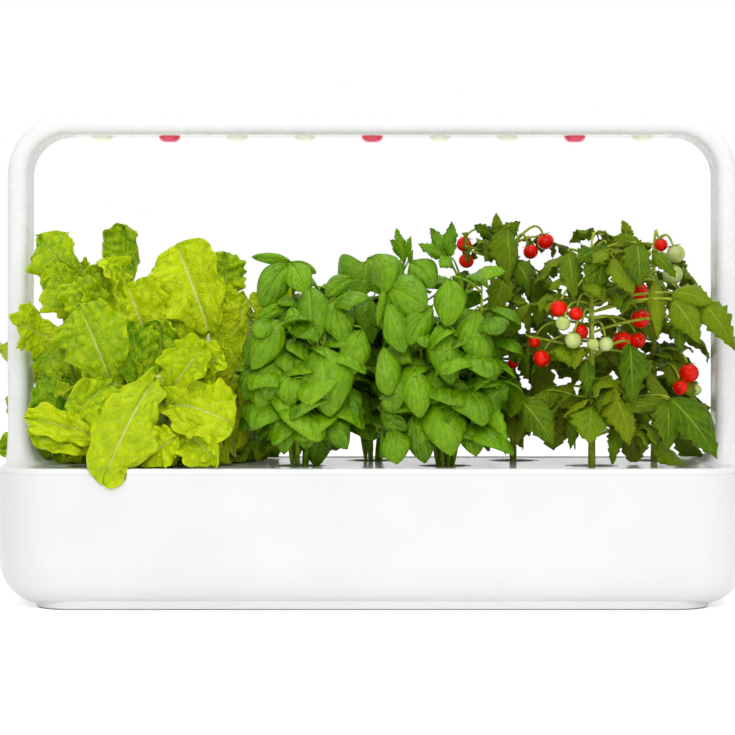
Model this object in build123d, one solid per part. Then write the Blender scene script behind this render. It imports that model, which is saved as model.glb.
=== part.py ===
from build123d import *
from math import sqrt
import os

# Countertop hydroponic garden: a water tank, a lid with nine plant pods in two staggered rows,
# two extension arms that plug into collars on the lid, and a lamp arch with nine lenses.
# Millimetres. +X is the long direction, the front faces -Y and the garden stands on Z = 0.

# ---- driving dimensions ----
base_length = 620.0
base_depth = 185.0
plan_corner_radius = 52.0
seam_height = 112.1
bottom_edge_radius = 36.0
tank_wall = 2.6
tank_floor_height = 3.0

foot_length = 559.0
foot_depth = 148.0
foot_ring_width = 7.0
foot_pad_thickness = 1.2
foot_pad_inset = 0.8
floor_rib_pitch = 90.0
floor_rib_width = 2.0

lid_thickness = 4.9
lid_skin = 2.6
rim_edge_radius = 1.8
rim_foot_radius = 0.7
deck_length = 560.0
deck_border = 6.0
deck_recess = 0.6
deck_corner_radius = 12.0
skirt_depth = 8.0
skirt_wall = 2.0
skirt_gap = 0.4
lid_rib_width = 1.6
lid_rib_depth = 6.0

pod_count = 9
pod_pitch = 61.0
row_offset = 38.0
cup_radius = 19.0
cup_taper = 3.0
cup_depth = 44.0
cup_wall = 1.4
flange_width = 3.0
flange_thickness = 1.6
flange_gap = 0.4
well_gap = 0.4
well_collar_wall = 1.8
well_collar_depth = 10.0
cup_slot_width = 4.0
cup_slot_height = 22.0
plug_gap = 0.4
plug_drop = 3.0
pod_travel = 48.0

tube_thickness = 17.4
tube_depth = 46.0
tube_edge_radius = 7.6
tube_wall = 2.0
tube_setback = 2.6
arch_height = 411.6
arch_corner_radius = 51.0
arch_seam_height = 324.0
collar_height = 34.0
collar_spread_in = 12.5
collar_spread_out = 2.3
collar_spread_side = 11.0
socket_depth = 28.0
tongue_length = 26.0
tongue_gap = 0.3
end_wall = 2.0
contact_radius = 1.6
contact_spacing = 12.0
contact_block_width = 6.0
contact_block_height = 3.0
lead_radius = 1.1
lead_bend_radius = 14.0
lead_rise_radius = 9.0

lens_pitch = 57.4
lens_radius = 9.2
lens_drop = 5.4
lens_flat_radius = 3.4
lens_flange_width = 1.6
lens_flange_thickness = 1.2
lens_gap = 0.2
lamp_cover_length = 504.0
lamp_cover_depth = 32.0
lamp_cover_thickness = 1.8
lamp_cover_gap = 0.25
led_board_length = 486.0
led_board_depth = 20.0
led_board_thickness = 1.6
led_board_height = 5.0
led_chip_size = 5.0
led_chip_thickness = 1.2

screw_radius = 1.4
screw_head_radius = 2.6
screw_head_height = 1.2
screw_length = 9.0
screw_gap = 0.15
boss_radius = 3.4

float_inset = 48.0
float_y = -46.0
float_radius = 9.0
float_gap = 0.7
float_height = 20.0
float_travel = 18.0
indicator_thickness = 2.0
guide_wall = 1.8
ledge_width = 2.0
ledge_thickness = 2.0
inlet_length = 24.0
inlet_width = 26.0
inlet_corner_radius = 7.0
inlet_gap = 1.0

panel_width = 54.0
panel_height = 30.0
panel_corner_radius = 5.0
panel_gap = 0.5
housing_depth = 44.0
housing_wall = 2.0
board_thickness = 1.6
board_standoff = 5.0
control_cover_thickness = 2.0
jack_x_offset = -13.0
panel_hole_radius = 4.3
jack_radius = 2.9
jack_body_size = 10.0
control_axis_height = 8.4
jack_body_length = 14.0
jack_pin_radius = 1.0
button_x_offset = 13.0
button_radius = 6.0
button_gap = 0.35
button_proud = 2.2
button_travel = 1.4
button_rim = 1.2
button_stem_radius = 1.6
switch_size = 7.0
switch_body_length = 6.0

stem_radius = 3.0
stem_height = {"lettuce": 100.0, "basil": 152.0, "tomato": 184.0}
stalk_radius = 1.2
stalk_drop = 12.0
fruit_gap = 0.3

# ---- heights and places that follow from them ----
deck_top = seam_height + lid_thickness - deck_recess
rim_top = seam_height + lid_thickness
deck_underside = rim_top - lid_skin
collar_top = rim_top + collar_height
tube_x = base_length / 2 - tube_setback - tube_thickness / 2
bar_underside = arch_height - tube_thickness
bar_middle = arch_height - tube_thickness / 2
bore_thickness = tube_thickness - 2 * tube_wall
bore_depth = tube_depth - 2 * tube_wall
bore_edge_radius = tube_edge_radius - tube_wall
skirt_outer = tank_wall + skirt_gap
skirt_inner = skirt_outer + skirt_wall
back_face = base_depth / 2
float_x = float_inset - base_length / 2


def pod_place(number):
    """Plan position of a pod, the odd ones of the row count standing in front."""
    step = number - (pod_count + 1) // 2
    side = 1 if step % 2 == 0 else -1
    return step * pod_pitch, side * row_offset


pods = range(1, pod_count + 1)
panel_x = pod_place(pod_count - 1)[0]


# ---- small building blocks ----
def block(length, depth, low, high, corner=0.0, x=0.0, y=0.0):
    """Upright block with rounded plan corners."""
    outline = RectangleRounded(length, depth, corner) if corner else Rectangle(length, depth)
    return Pos(x, y, low) * extrude(outline, high - low)


def rod(radius, low, high, x=0.0, y=0.0):
    """Upright cylinder."""
    return Pos(x, y, low) * extrude(Circle(radius), high - low)


def rod_back(radius, front, back, x, z):
    """Cylinder that runs from front to back along Y."""
    return Pos(x, front, z) * Rot(-90, 0, 0) * extrude(Circle(radius), back - front)


def lead(points, bend_radius):
    """Round lead along straight runs joined by tangent arcs."""
    path = FilletPolyline(*points, radius=bend_radius)
    section = Plane(origin=path @ 0, z_dir=path % 0) * Circle(lead_radius)
    return sweep(section, path=path)


def save(shape, name):
    """One file for each piece."""
    shape.label = name
    export_step(shape, f"parts/{name}.step")


def turned(points, x=0.0, y=0.0):
    """Solid of revolution about an upright axis, from radius and height pairs."""
    outline = make_face(Polyline(*[(r, 0, z) for r, z in points], close=True))
    return Pos(x, y, 0) * revolve(outline, Axis.Z)


# ---- water tank ----
def tank_form(inset):
    """Rounded tank body, drawn in from its outer skin."""
    form = block(base_length - 2 * inset, base_depth - 2 * inset, tank_floor_height + inset,
                 seam_height, plan_corner_radius - inset)
    return fillet(form.edges().group_by(Axis.Z)[0], bottom_edge_radius - inset)


def foot_form(low, high, inset):
    """Rounded block with the outline of the foot, drawn in from its edge."""
    corner = plan_corner_radius - (base_depth - foot_depth) / 2
    return block(foot_length - 2 * inset, foot_depth - 2 * inset, low, high, corner - inset)


def foot_ring(low, high, inset, width):
    """Ring under the tank with a bar across its middle, drawn in from the edge of the plinth."""
    ring = foot_form(low, high, inset) - foot_form(low, high, inset + width)
    return ring + block(width, foot_depth - 2 * (inset + width), low, high)


def panel_form(grow, front, back, low_extra):
    """Upright panel of the back wall, with rounded lower corners and an open top."""
    low = seam_height - panel_height - grow
    height = seam_height + low_extra - low
    middle = low + height / 2
    outline = Pos(panel_x, 0, middle) * (Rot(90, 0, 0) * Rectangle(panel_width + 2 * grow, height))
    form = Pos(0, back, 0) * extrude(outline, back - front)
    corners = form.edges().filter_by(Axis.Y).group_by(Axis.Z)[0]
    return fillet(corners, panel_corner_radius + grow)


def make_tank():
    outside = tank_form(0)
    ring_top = tank_floor_height + bottom_edge_radius / 3
    shell = outside + foot_ring(foot_pad_thickness, ring_top, 0, foot_ring_width)
    foot = foot_form(foot_pad_thickness, ring_top, 0)
    count = int((foot_length / 2 - foot_ring_width) / floor_rib_pitch)
    for step in range(-count, count + 1):
        rib = block(floor_rib_width, foot_depth, foot_pad_thickness, ring_top, x=step * floor_rib_pitch)
        shell = shell + (rib & foot)
    shell = shell - tank_form(tank_wall)
    return shell - panel_form(panel_gap, back_face - 2 * tank_wall, back_face + tank_wall, 1)


def make_foot_pad():
    return foot_ring(0, foot_pad_thickness, foot_pad_inset, foot_ring_width - 2 * foot_pad_inset)


# ---- lid ----
def collar_section(rise):
    """Outline of an arm collar at a height above the rim: it spreads in a quarter ellipse."""
    share = min(rise / collar_height, 1)
    spread = 1 - sqrt(1 - (1 - share) ** 2)
    inner = tube_x - tube_thickness / 2 - collar_spread_in * spread
    outer = tube_x + tube_thickness / 2 + collar_spread_out * spread
    side = tube_depth / 2 + collar_spread_side * spread
    corner = tube_edge_radius + (collar_spread_in / 2 - 1) * spread
    return Pos((inner + outer) / 2, 0, rim_top + rise) * RectangleRounded(outer - inner, 2 * side, corner)


def make_collar():
    """Flared collar of the right arm, with its socket."""
    rises = [0, 0.06, 0.2, 0.42, 0.7, 1]
    flare = loft([collar_section(collar_height * share) for share in rises])
    floor_top = collar_top - socket_depth
    root = extrude(collar_section(0), -rim_edge_radius - 0.2)
    socket = block(bore_thickness, bore_depth, floor_top, collar_top, bore_edge_radius, tube_x)
    return flare + root - socket


def make_lid():
    rim = block(base_length, base_depth, seam_height, rim_top, plan_corner_radius)
    rim = fillet(rim.edges().group_by(Axis.Z)[-1], rim_edge_radius)
    rim = fillet(rim.edges().group_by(Axis.Z)[0], rim_foot_radius)
    recess = block(deck_length, base_depth - 2 * deck_border, deck_top, rim_top, deck_corner_radius)
    hollow = block(base_length - 2 * skirt_inner, base_depth - 2 * skirt_inner, seam_height,
                   deck_underside, plan_corner_radius - skirt_inner)
    skirt = block(base_length - 2 * skirt_outer, base_depth - 2 * skirt_outer,
                  seam_height - skirt_depth, seam_height, plan_corner_radius - skirt_outer)
    skirt = skirt - block(base_length - 2 * skirt_inner, base_depth - 2 * skirt_inner,
                          seam_height - skirt_depth, seam_height, plan_corner_radius - skirt_inner)
    skirt = skirt - panel_form(panel_gap, back_face - 2 * skirt_inner, back_face, 0)
    lid = rim - recess - hollow + skirt
    rib_low = deck_underside - lid_rib_depth
    for number in list(pods)[:-1]:
        middle = (pod_place(number)[0] + pod_place(number + 1)[0]) / 2
        lid = lid + block(lid_rib_width, base_depth - 2 * skirt_inner + skirt_wall, rib_low,
                          deck_underside + lid_skin / 4, x=middle)
    collar = make_collar()
    lid = lid + collar + mirror(collar, Plane.YZ)
    under_socket = block(bore_thickness, bore_depth, seam_height - 1,
                         collar_top - socket_depth - end_wall, bore_edge_radius, tube_x)
    lid = lid - under_socket - mirror(under_socket, Plane.YZ)
    for side in (-1, 1):
        lid = lid - rod(contact_radius, rim_top, collar_top, tube_x, side * contact_spacing / 2)
    hole = cup_radius + well_gap
    seat = cup_radius + flange_width + flange_gap
    for number in pods:
        x, y = pod_place(number)
        lid = lid + rod(seat, deck_underside - well_collar_depth / 4, deck_underside, x, y)
        lid = lid + rod(hole + well_collar_wall, deck_underside - well_collar_depth,
                        deck_underside, x, y)
        lid = lid - rod(hole, deck_underside - well_collar_depth, deck_top, x, y)
        lid = lid - rod(seat, deck_top - flange_thickness, deck_top, x, y)
    return make_inlet(lid)


def make_inlet(lid):
    """Filling opening, and the guide of the float beside it."""
    bore = float_radius + float_gap
    middle = float_x + bore + guide_wall + inlet_gap + inlet_length / 2
    opening = block(inlet_length, inlet_width, deck_underside - lid_rib_depth, deck_top,
                    inlet_corner_radius, middle, float_y)
    guide_low = deck_top - float_travel - float_height - indicator_thickness - ledge_thickness
    wall = rod(bore + guide_wall, guide_low, deck_underside, float_x, float_y)
    lid = lid + wall - opening
    lid = lid - rod(bore, guide_low + ledge_thickness, deck_top, float_x, float_y)
    lid = lid - rod(bore - ledge_width, guide_low, deck_top, float_x, float_y)
    side_slot = block(2 * bore + 4 * guide_wall, cup_slot_width, guide_low + 2 * ledge_thickness,
                      deck_underside - lid_rib_depth, x=float_x, y=float_y)
    return lid - side_slot


# ---- control unit under the lid ----
housing_front = back_face - tank_wall - housing_depth
housing_low = seam_height - panel_height
board_low = housing_low + control_cover_thickness + board_standoff
board_top = board_low + board_thickness
control_axis = board_top + control_axis_height
screw_places = [(panel_x + side * (panel_width / 2 - housing_wall - boss_radius),
                 housing_front + housing_wall + boss_radius + row * (housing_depth - skirt_inner
                 - 2 * housing_wall - 2 * boss_radius)) for side in (-1, 1) for row in (0, 1)]


def housing_room(low, high, inset):
    """Upright block inside the housing walls."""
    length = panel_width - 2 * housing_wall - 2 * inset
    depth = housing_depth - 2 * housing_wall - 2 * inset
    return block(length, depth, low, high, x=panel_x, y=housing_front + housing_depth / 2)


def make_housing():
    """Box open at the bottom, with the outer panel that fills the notch of the tank."""
    panel = panel_form(0, back_face - tank_wall, back_face, 0)
    box = panel_form(0, housing_front, back_face - tank_wall, 0)
    top = block(panel_width, housing_depth - skirt_inner, seam_height, deck_underside,
                x=panel_x, y=housing_front + (housing_depth - skirt_inner) / 2)
    top = top - block(panel_width - 2 * housing_wall, housing_depth, seam_height, deck_underside,
                      x=panel_x, y=housing_front + housing_depth / 2 + housing_wall)
    box = box + panel + top
    room = housing_room(housing_low, seam_height - housing_wall, 0)
    box = box - room
    for x, y in screw_places:
        box = box + rod(boss_radius, board_top, seam_height - housing_wall, x, y)
        box = box - rod(screw_radius + screw_gap, board_top, board_top + screw_length, x, y)
    hole_back = back_face + 1
    box = box - rod_back(panel_hole_radius, housing_front + housing_depth - housing_wall - 1, hole_back,
                         panel_x + jack_x_offset, control_axis)
    return box - rod_back(button_radius + button_gap, housing_front + housing_depth - housing_wall - 1,
                          hole_back, panel_x + button_x_offset, control_axis)


def make_control_cover():
    """Bottom plate with posts that carry the board."""
    plate = housing_room(housing_low, housing_low + control_cover_thickness, panel_gap / 2)
    for x, y in screw_places:
        plate = plate + rod(boss_radius, housing_low, board_low, x, y)
        plate = plate - rod(screw_radius + screw_gap, housing_low, board_low, x, y)
        plate = plate - rod(screw_head_radius + screw_gap, housing_low,
                            housing_low + screw_head_height, x, y)
    return plate


def make_control_board():
    board = housing_room(board_low, board_top, 1)
    for x, y in screw_places:
        board = board - rod(screw_radius + screw_gap, board_low, board_top, x, y)
    return board


def make_screw(x, y, low, length):
    """Pan screw driven upwards, with a cross slot in its head."""
    screw = rod(screw_head_radius, low, low + screw_head_height, x, y)
    screw = screw + rod(screw_radius, low, low + length, x, y)
    slot = screw_head_height / 2
    for turn in (0, 90):
        screw = screw - Pos(x, y, low) * Rot(0, 0, turn) * block(2.4, 0.6, 0, slot)
    return screw


def make_power_inlet():
    """Socket block on the board with its centre pin."""
    rear = back_face - tank_wall - housing_wall
    x = panel_x + jack_x_offset
    body = block(jack_body_size, jack_body_length, board_top, control_axis + jack_body_size / 2, 0.8,
                 x, rear - jack_body_length / 2)
    body = body - rod_back(jack_radius, rear - jack_body_length + 3, rear, x, control_axis)
    return body + rod_back(jack_pin_radius, rear - jack_body_length + 2, rear - 2, x, control_axis)


button_inner = back_face - tank_wall - housing_wall
switch_front = button_inner - button_travel - 4


def make_push_switch():
    """Switch on the board; its plunger meets the back of the button."""
    x = panel_x + button_x_offset
    return block(switch_size, switch_body_length, board_top, control_axis + switch_size / 2, 0.5,
                 x, switch_front - switch_body_length / 2)


def make_button():
    """Round cap with a domed face, a retaining rim inside and a stem to the switch."""
    x = panel_x + button_x_offset
    cap = rod_back(button_radius, button_inner, back_face + button_proud, x, control_axis)
    cap = fillet(cap.edges().sort_by(Axis.Y)[-1], button_proud / 2)
    rim = rod_back(button_radius + button_rim, button_inner - button_rim, button_inner, x, control_axis)
    stem = rod_back(button_stem_radius, switch_front + button_travel, button_inner - button_rim, x,
                    control_axis)
    return cap + rim + stem


def contact_block(low, pin_low, pin_high):
    """Insulating block with two spring contacts."""
    piece = block(contact_block_width, 2 * contact_spacing, low, low + contact_block_height, 1, tube_x)
    for side in (-1, 1):
        piece = piece + rod(contact_radius, pin_low, pin_high, tube_x, side * contact_spacing / 2)
    return piece


collar_floor = collar_top - socket_depth
contact_gap = socket_depth - tongue_length
lid_block_low = collar_floor - end_wall - contact_block_height


def make_lid_contacts():
    return contact_block(lid_block_low, lid_block_low, collar_floor + contact_gap / 2)


def make_lamp_lead():
    """Lead from the housing, under the ribs of the deck, up to the contacts of the right arm."""
    start_x = panel_x + panel_width / 2 - housing_wall - boss_radius * 2
    height = deck_underside - well_collar_depth - lead_radius
    points = [(start_x, housing_front, height), (start_x, 0, height), (tube_x, 0, height),
              (tube_x, 0, lid_block_low)]
    return lead(points, [lead_bend_radius, lead_rise_radius])


# ---- arms ----
def tube_section(grow=0.0):
    return RectangleRounded(tube_thickness + 2 * grow, tube_depth + 2 * grow, tube_edge_radius + grow)


def make_tongue(top, wired):
    """Hollow tongue with a closed end that plugs into the socket below."""
    root = end_wall * 2
    neck = block(bore_thickness, bore_depth, top, top + root, bore_edge_radius, tube_x)
    gap = tongue_gap
    low = top - tongue_length
    tongue = block(bore_thickness - 2 * gap, bore_depth - 2 * gap, low, top, bore_edge_radius - gap, tube_x)
    wall = gap + tube_wall
    hollow = block(bore_thickness - 2 * wall, bore_depth - 2 * wall, low + end_wall, top + root,
                   bore_edge_radius - wall, tube_x)
    tongue = neck + tongue - hollow
    if wired:
        for side in (-1, 1):
            tongue = tongue - rod(contact_radius, low, top, tube_x, side * contact_spacing / 2)
    return tongue


arm_socket_floor = arch_seam_height - socket_depth


def make_arm(wired):
    """Right extension arm: a tube with a tongue below and a socket above."""
    arm = block(tube_thickness, tube_depth, collar_top, arch_seam_height, tube_edge_radius, tube_x)
    arm = arm - block(bore_thickness, bore_depth, collar_top, arch_seam_height, bore_edge_radius, tube_x)
    arm = arm + make_tongue(collar_top, wired)
    plate = block(bore_thickness, bore_depth, arm_socket_floor - end_wall, arm_socket_floor,
                  bore_edge_radius, tube_x)
    if wired:
        for side in (-1, 1):
            plate = plate - rod(contact_radius, arm_socket_floor - end_wall, arm_socket_floor, tube_x,
                                side * contact_spacing / 2)
    return arm + plate


arm_block_low = collar_top - tongue_length + end_wall
arm_block_high = arm_socket_floor - end_wall - contact_block_height
arch_block_low = arch_seam_height - tongue_length + end_wall


def make_extension_contacts():
    lower = contact_block(arm_block_low, collar_floor + contact_gap / 2, arm_block_low)
    upper = contact_block(arm_block_high, arm_block_high, arm_socket_floor + contact_gap / 2)
    return Compound([lower, upper])


def make_extension_lead():
    return rod(lead_radius, arm_block_low + contact_block_height, arm_block_high, tube_x)


def make_arch_contacts():
    return contact_block(arch_block_low, arm_socket_floor + contact_gap / 2, arch_block_low)


# ---- lamp arch ----
def arch_path(inset_low):
    """Middle line of the arch, from the foot of the left leg to that of the right."""
    radius = arch_corner_radius - tube_thickness / 2
    return FilletPolyline((-tube_x, 0, inset_low), (-tube_x, 0, bar_middle),
                          (tube_x, 0, bar_middle), (tube_x, 0, inset_low), radius=radius)


def arch_sweep(grow, low):
    section = Pos(-tube_x, 0, low) * tube_section(grow)
    return sweep(section, path=arch_path(low))


lens_places = [(step - (pod_count - 1) / 2) * lens_pitch for step in range(pod_count)]
red_lenses = lens_places[1::3]
clear_lenses = [x for x in lens_places if x not in red_lenses]
cover_top = bar_underside + lamp_cover_thickness
led_board_low = cover_top + led_board_height
led_board_top = led_board_low + led_board_thickness
lamp_screw_places = [(lens_places[0] + (step + 0.5) * lens_pitch, 0) for step in (0, 2, 3, 4, 5, 7)]


def make_arch_shell():
    shell = arch_sweep(0, arch_seam_height) - arch_sweep(-tube_wall, arch_seam_height)
    window = block(lamp_cover_length, lamp_cover_depth, bar_underside - 1, cover_top + tube_wall,
                   4, 0, 0)
    shell = shell - window
    roof = arch_height - tube_wall
    for x, y in lamp_screw_places:
        shell = shell + rod(boss_radius, led_board_top, roof + tube_wall / 2, x, y)
        shell = shell - rod(screw_radius + screw_gap, led_board_top, roof, x, y)
    left_tongue = mirror(make_tongue(arch_seam_height, False), Plane.YZ)
    return shell + make_tongue(arch_seam_height, True) + left_tongue


def make_arch_cover():
    """Underside plate of the bar with the nine lens openings and the posts of the board."""
    gap = lamp_cover_gap
    plate = block(lamp_cover_length - 2 * gap, lamp_cover_depth - 2 * gap, bar_underside, cover_top,
                  4 - gap)
    for x in lens_places:
        plate = plate - rod(lens_radius + lens_gap, bar_underside, cover_top, x)
    for x, y in lamp_screw_places:
        plate = plate + rod(boss_radius, bar_underside, led_board_low, x, y)
        plate = plate - rod(screw_radius + screw_gap, bar_underside, led_board_low, x, y)
        plate = plate - rod(screw_head_radius + screw_gap, bar_underside,
                            bar_underside + screw_head_height, x, y)
    return plate


def make_led_board():
    board = block(led_board_length, led_board_depth, led_board_low, led_board_top, 1)
    for x, y in lamp_screw_places:
        board = board - rod(screw_radius + screw_gap, led_board_low, led_board_top, x, y)
    return board


def make_arch_lead():
    """Lead up the right leg and round the bend to the end of the LED board."""
    height = led_board_low + led_board_thickness / 2
    points = [(tube_x, 0, arch_block_low + contact_block_height), (tube_x, 0, height),
              (led_board_length / 2, 0, height)]
    return lead(points, [arch_corner_radius - tube_thickness / 2])


def make_lens(x):
    """Domed lens with a flat nose; its flange rests on the cover from inside."""
    flange = lens_radius + lens_flange_width
    top = cover_top + lens_flange_thickness
    nose = bar_underside - lens_drop
    shoulder = bar_underside - 0.6
    outline = Polyline((lens_radius, 0, shoulder), (lens_radius, 0, cover_top), (flange, 0, cover_top),
                       (flange, 0, top), (0, 0, top), (0, 0, nose), (lens_flat_radius, 0, nose))
    mid_radius = (lens_radius + lens_flat_radius) / 2 + 1.1
    mid_height = (shoulder + nose) / 2 - 0.9
    dome = ThreePointArc((lens_flat_radius, 0, nose), (mid_radius, 0, mid_height),
                         (lens_radius, 0, shoulder))
    return Pos(x, 0, 0) * revolve(make_face(outline + dome), Axis.Z)


def make_chip(x):
    return block(led_chip_size, led_chip_size, led_board_low - led_chip_thickness, led_board_low, 0.4, x)


# ---- pods ----
def make_cup(x, y):
    """Tapered cup hung by its flange, with root slots low in its wall."""
    top = deck_top
    low = top - cup_depth
    foot = cup_radius - cup_taper
    rim = cup_radius + flange_width
    shape = turned([(0, low), (foot, low), (cup_radius, top - flange_thickness),
                    (rim, top - flange_thickness), (rim, top), (cup_radius - cup_wall, top),
                    (foot - cup_wall, low + cup_wall), (0, low + cup_wall)], x, y)
    for turn in (0, 90):
        slot = block(3 * cup_radius, cup_slot_width, low + 2 * cup_wall, low + cup_slot_height)
        shape = shape - Pos(x, y, 0) * Rot(0, 0, turn + 45) * slot
    return shape


def plug_radius(height):
    """Radius of the growing medium at a height inside the tapered cup."""
    share = (height - (deck_top - cup_depth)) / (cup_depth - flange_thickness)
    return cup_radius - cup_taper * (1 - share) - cup_wall - plug_gap


plug_top = deck_top - plug_drop


def make_plug(x, y):
    low = deck_top - cup_depth + cup_wall
    return turned([(0, low), (plug_radius(low) - 0.3, low), (plug_radius(plug_top) - 0.3, plug_top),
                   (0, plug_top)], x, y)


# ---- float ----
float_low = deck_top - float_travel - float_height - indicator_thickness


def make_float():
    body = rod(float_radius, float_low, float_low + float_height, float_x, float_y)
    return chamfer(body.edges(), indicator_thickness / 2)


def make_indicator():
    low = float_low + float_height
    disc = rod(float_radius, low, low + indicator_thickness, float_x, float_y)
    return fillet(disc.edges().sort_by(Axis.Z)[-1], indicator_thickness / 2)


# ---- plants ----
lettuce_outline = [(0.3, 0.26), (0.62, 0.5), (0.85, 0.42), (1, 0.16)]
basil_outline = [(0.3, 0.3), (0.58, 0.5), (0.84, 0.26), (1, 0)]
tomato_outline = [(0.22, 0.1), (0.3, 0.46), (0.46, 0.14), (0.56, 0.5), (0.72, 0.16), (0.82, 0.3), (1, 0)]


def leaf(outline, length, width, base_z, rise, droop, thickness):
    """Leaf plate along +X: it climbs by rise, levels out and droops at its tip."""
    bend = [(0, 0), (0.3, 0.72), (0.62, 1), (1, 1 - droop / rise)]
    under = [(length * along, base_z + rise * up) for along, up in bend]
    slope = rise * 0.72 / (length * 0.3)
    lift = thickness * sqrt(1 + slope * slope)
    over = [(under[0][0], under[0][1] + lift), (under[1][0], under[1][1] + (lift + thickness) / 2),
            (under[2][0], under[2][1] + thickness), (under[3][0], under[3][1] + thickness)]
    band = make_face(Polyline(*[(x, 0, z) for x, z in under + over[::-1]], close=True))
    band = extrude(band, width, both=True)
    side = [(0, stem_radius * 0.6)] + [(length * along, width * out) for along, out in outline]
    other = [(x, -y) for x, y in reversed(side) if y > 0]
    prism = extrude(make_face(Polyline(*side, *other, close=True)), 2 * (rise + abs(droop)) + 40)
    return band & Pos(0, 0, base_z - abs(droop) - 20) * prism


# fruit of each tomato plant: offset from the pod in X and Y, height of its centre, and radius
ripe_fruit = {
    7: [(-43, -14, 303, 6.6), (-41, -13, 289, 6.6), (28, -2, 306, 7.4), (15, -4, 297, 6.6),
        (-5, -44, 220, 5.8), (-3, -46, 201, 4.6)],
    8: [(40, 4, 262, 7.4), (41, 2, 239, 8.2), (39, 6, 221, 7), (26, 3, 221, 8.2), (-29, -20, 247, 7.4),
        (-15, -22, 243, 5.8), (-11, -20, 228, 6.6), (-48, -2, 220, 5.4), (-42, -6, 206, 7.4)],
    9: [(6, -1, 303, 6), (23, -54, 193, 8.6), (15, -60, 181, 6.6)],
}
green_fruit = {
    8: [(-26, -26, 235, 6.2), (-18, -30, 221, 7), (-2, -34, 218, 5), (9, -30, 218, 6.2)],
    9: [(18, -8, 295, 8.2), (15, -10, 277, 9), (29, -52, 179, 5)],
}


def bar(start, end, radius):
    """Round bar between two points."""
    way = Vector(*end) - Vector(*start)
    return Plane(origin=start, z_dir=way) * extrude(Circle(radius), way.length)


def make_fruit(number, places):
    x, y = pod_place(number)
    return Compound([Pos(x + dx, y + dy, z) * Sphere(radius) for dx, dy, z, radius in places[number]])


def add_stalks(plant, number):
    """Stalks from the stem to each fruit, which sits just clear of leaf and stalk."""
    x, y = pod_place(number)
    for places in (ripe_fruit, green_fruit):
        for dx, dy, z, radius in places.get(number, []):
            top = plug_top + stem_height["tomato"]
            root = (x, y, min(z + stalk_drop, top))
            plant = plant + bar(root, (x + dx, y + dy, z), stalk_radius)
    for places in (ripe_fruit, green_fruit):
        for dx, dy, z, radius in places.get(number, []):
            plant = plant - Pos(x + dx, y + dy, z) * Sphere(radius + fruit_gap)
    return plant


def make_plant(number, outline, height, rings):
    """Upright stem with rings of leaves; each ring is given by count, length, width, start,
    rise, droop, thickness and turn."""
    x, y = pod_place(number)
    plant = rod(stem_radius, plug_top, plug_top + height)
    for count, length, width, start, rise, droop, thickness, turn in rings:
        blade = leaf(outline, length, width, plug_top + start, rise, droop, thickness)
        for step in range(count):
            plant = plant + Rot(0, 0, turn + number * 37 + step * 360 / count) * blade
    return Pos(x, y, 0) * plant


lettuce_rings = [(5, 47, 50, 8, 26, 12, 1.6, 0), (4, 45, 52, 22, 52, 4, 1.6, 40),
                 (4, 38, 46, 40, 78, -8, 1.6, 15), (3, 26, 34, 62, 94, -14, 1.6, 70)]
basil_rings = [(4, 44, 30, 24, 24, 14, 1.4, 0), (4, 47, 34, 58, 24, 14, 1.4, 45),
               (4, 45, 32, 92, 22, 12, 1.4, 0), (4, 38, 30, 124, 20, 8, 1.4, 45),
               (4, 24, 20, 150, 16, 2, 1.4, 0)]
tomato_rings = [(3, 47, 38, 40, 18, 26, 1.4, 0), (3, 47, 38, 84, 22, 20, 1.4, 60),
                (3, 47, 38, 126, 24, 16, 1.4, 10), (3, 45, 32, 162, 22, 10, 1.4, 75),
                (4, 26, 20, 182, 16, 2, 1.4, 0)]


def main():
    os.makedirs("parts", exist_ok=True)
    save(make_tank(), "tank_shell")
    save(make_foot_pad(), "foot_pad")
    save(make_lid(), "lid_deck")
    save(make_housing(), "control_housing")
    save(make_control_cover(), "control_cover")
    save(make_control_board(), "control_board")
    save(Compound([make_screw(x, y, housing_low, screw_length + board_top - housing_low - 1)
                   for x, y in screw_places]), "control_screws")
    save(make_power_inlet(), "power_inlet")
    save(make_push_switch(), "push_switch")
    save(make_button(), "button_cap")
    save(make_lid_contacts(), "lid_contacts")
    save(make_lamp_lead(), "lamp_lead")
    save(make_float(), "float_body")
    save(make_indicator(), "float_indicator")
    save(make_arm(True), "right_extension_arm")
    save(mirror(make_arm(False), Plane.YZ), "left_extension_arm")
    save(make_extension_contacts(), "extension_contacts")
    save(make_extension_lead(), "extension_lead")
    save(make_arch_contacts(), "arch_contacts")
    save(make_arch_lead(), "arch_lead")
    save(make_arch_shell(), "arch_shell")
    save(make_arch_cover(), "arch_cover")
    save(make_led_board(), "led_board")
    save(Compound([make_lens(x) for x in clear_lenses]), "lenses_clear")
    save(Compound([make_lens(x) for x in red_lenses]), "lenses_red")
    save(Compound([make_chip(x) for x in clear_lenses]), "led_chips_white")
    save(Compound([make_chip(x) for x in red_lenses]), "led_chips_red")
    save(Compound([make_screw(x, y, bar_underside, led_board_top - bar_underside + 5)
                   for x, y in lamp_screw_places]), "arch_screws")
    for number in pods:
        x, y = pod_place(number)
        save(make_cup(x, y), f"pod_cup_{number}")
        save(make_plug(x, y), f"grow_plug_{number}")
        if number <= 3:
            plant = make_plant(number, lettuce_outline, stem_height["lettuce"], lettuce_rings)
            save(plant, f"lettuce_{number}")
        elif number <= 6:
            plant = make_plant(number, basil_outline, stem_height["basil"], basil_rings)
            save(plant, f"basil_{number}")
        else:
            plant = make_plant(number, tomato_outline, stem_height["tomato"], tomato_rings)
            save(add_stalks(plant, number), f"tomato_{number}")
            save(make_fruit(number, ripe_fruit), f"tomato_fruit_{number}")
            if number in green_fruit:
                save(make_fruit(number, green_fruit), f"green_fruit_{number}")


main()
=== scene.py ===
"""Looks of a countertop hydroponic garden: white moulded tank, lid and lamp arch, nine planted pods."""

import math
import random

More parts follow.
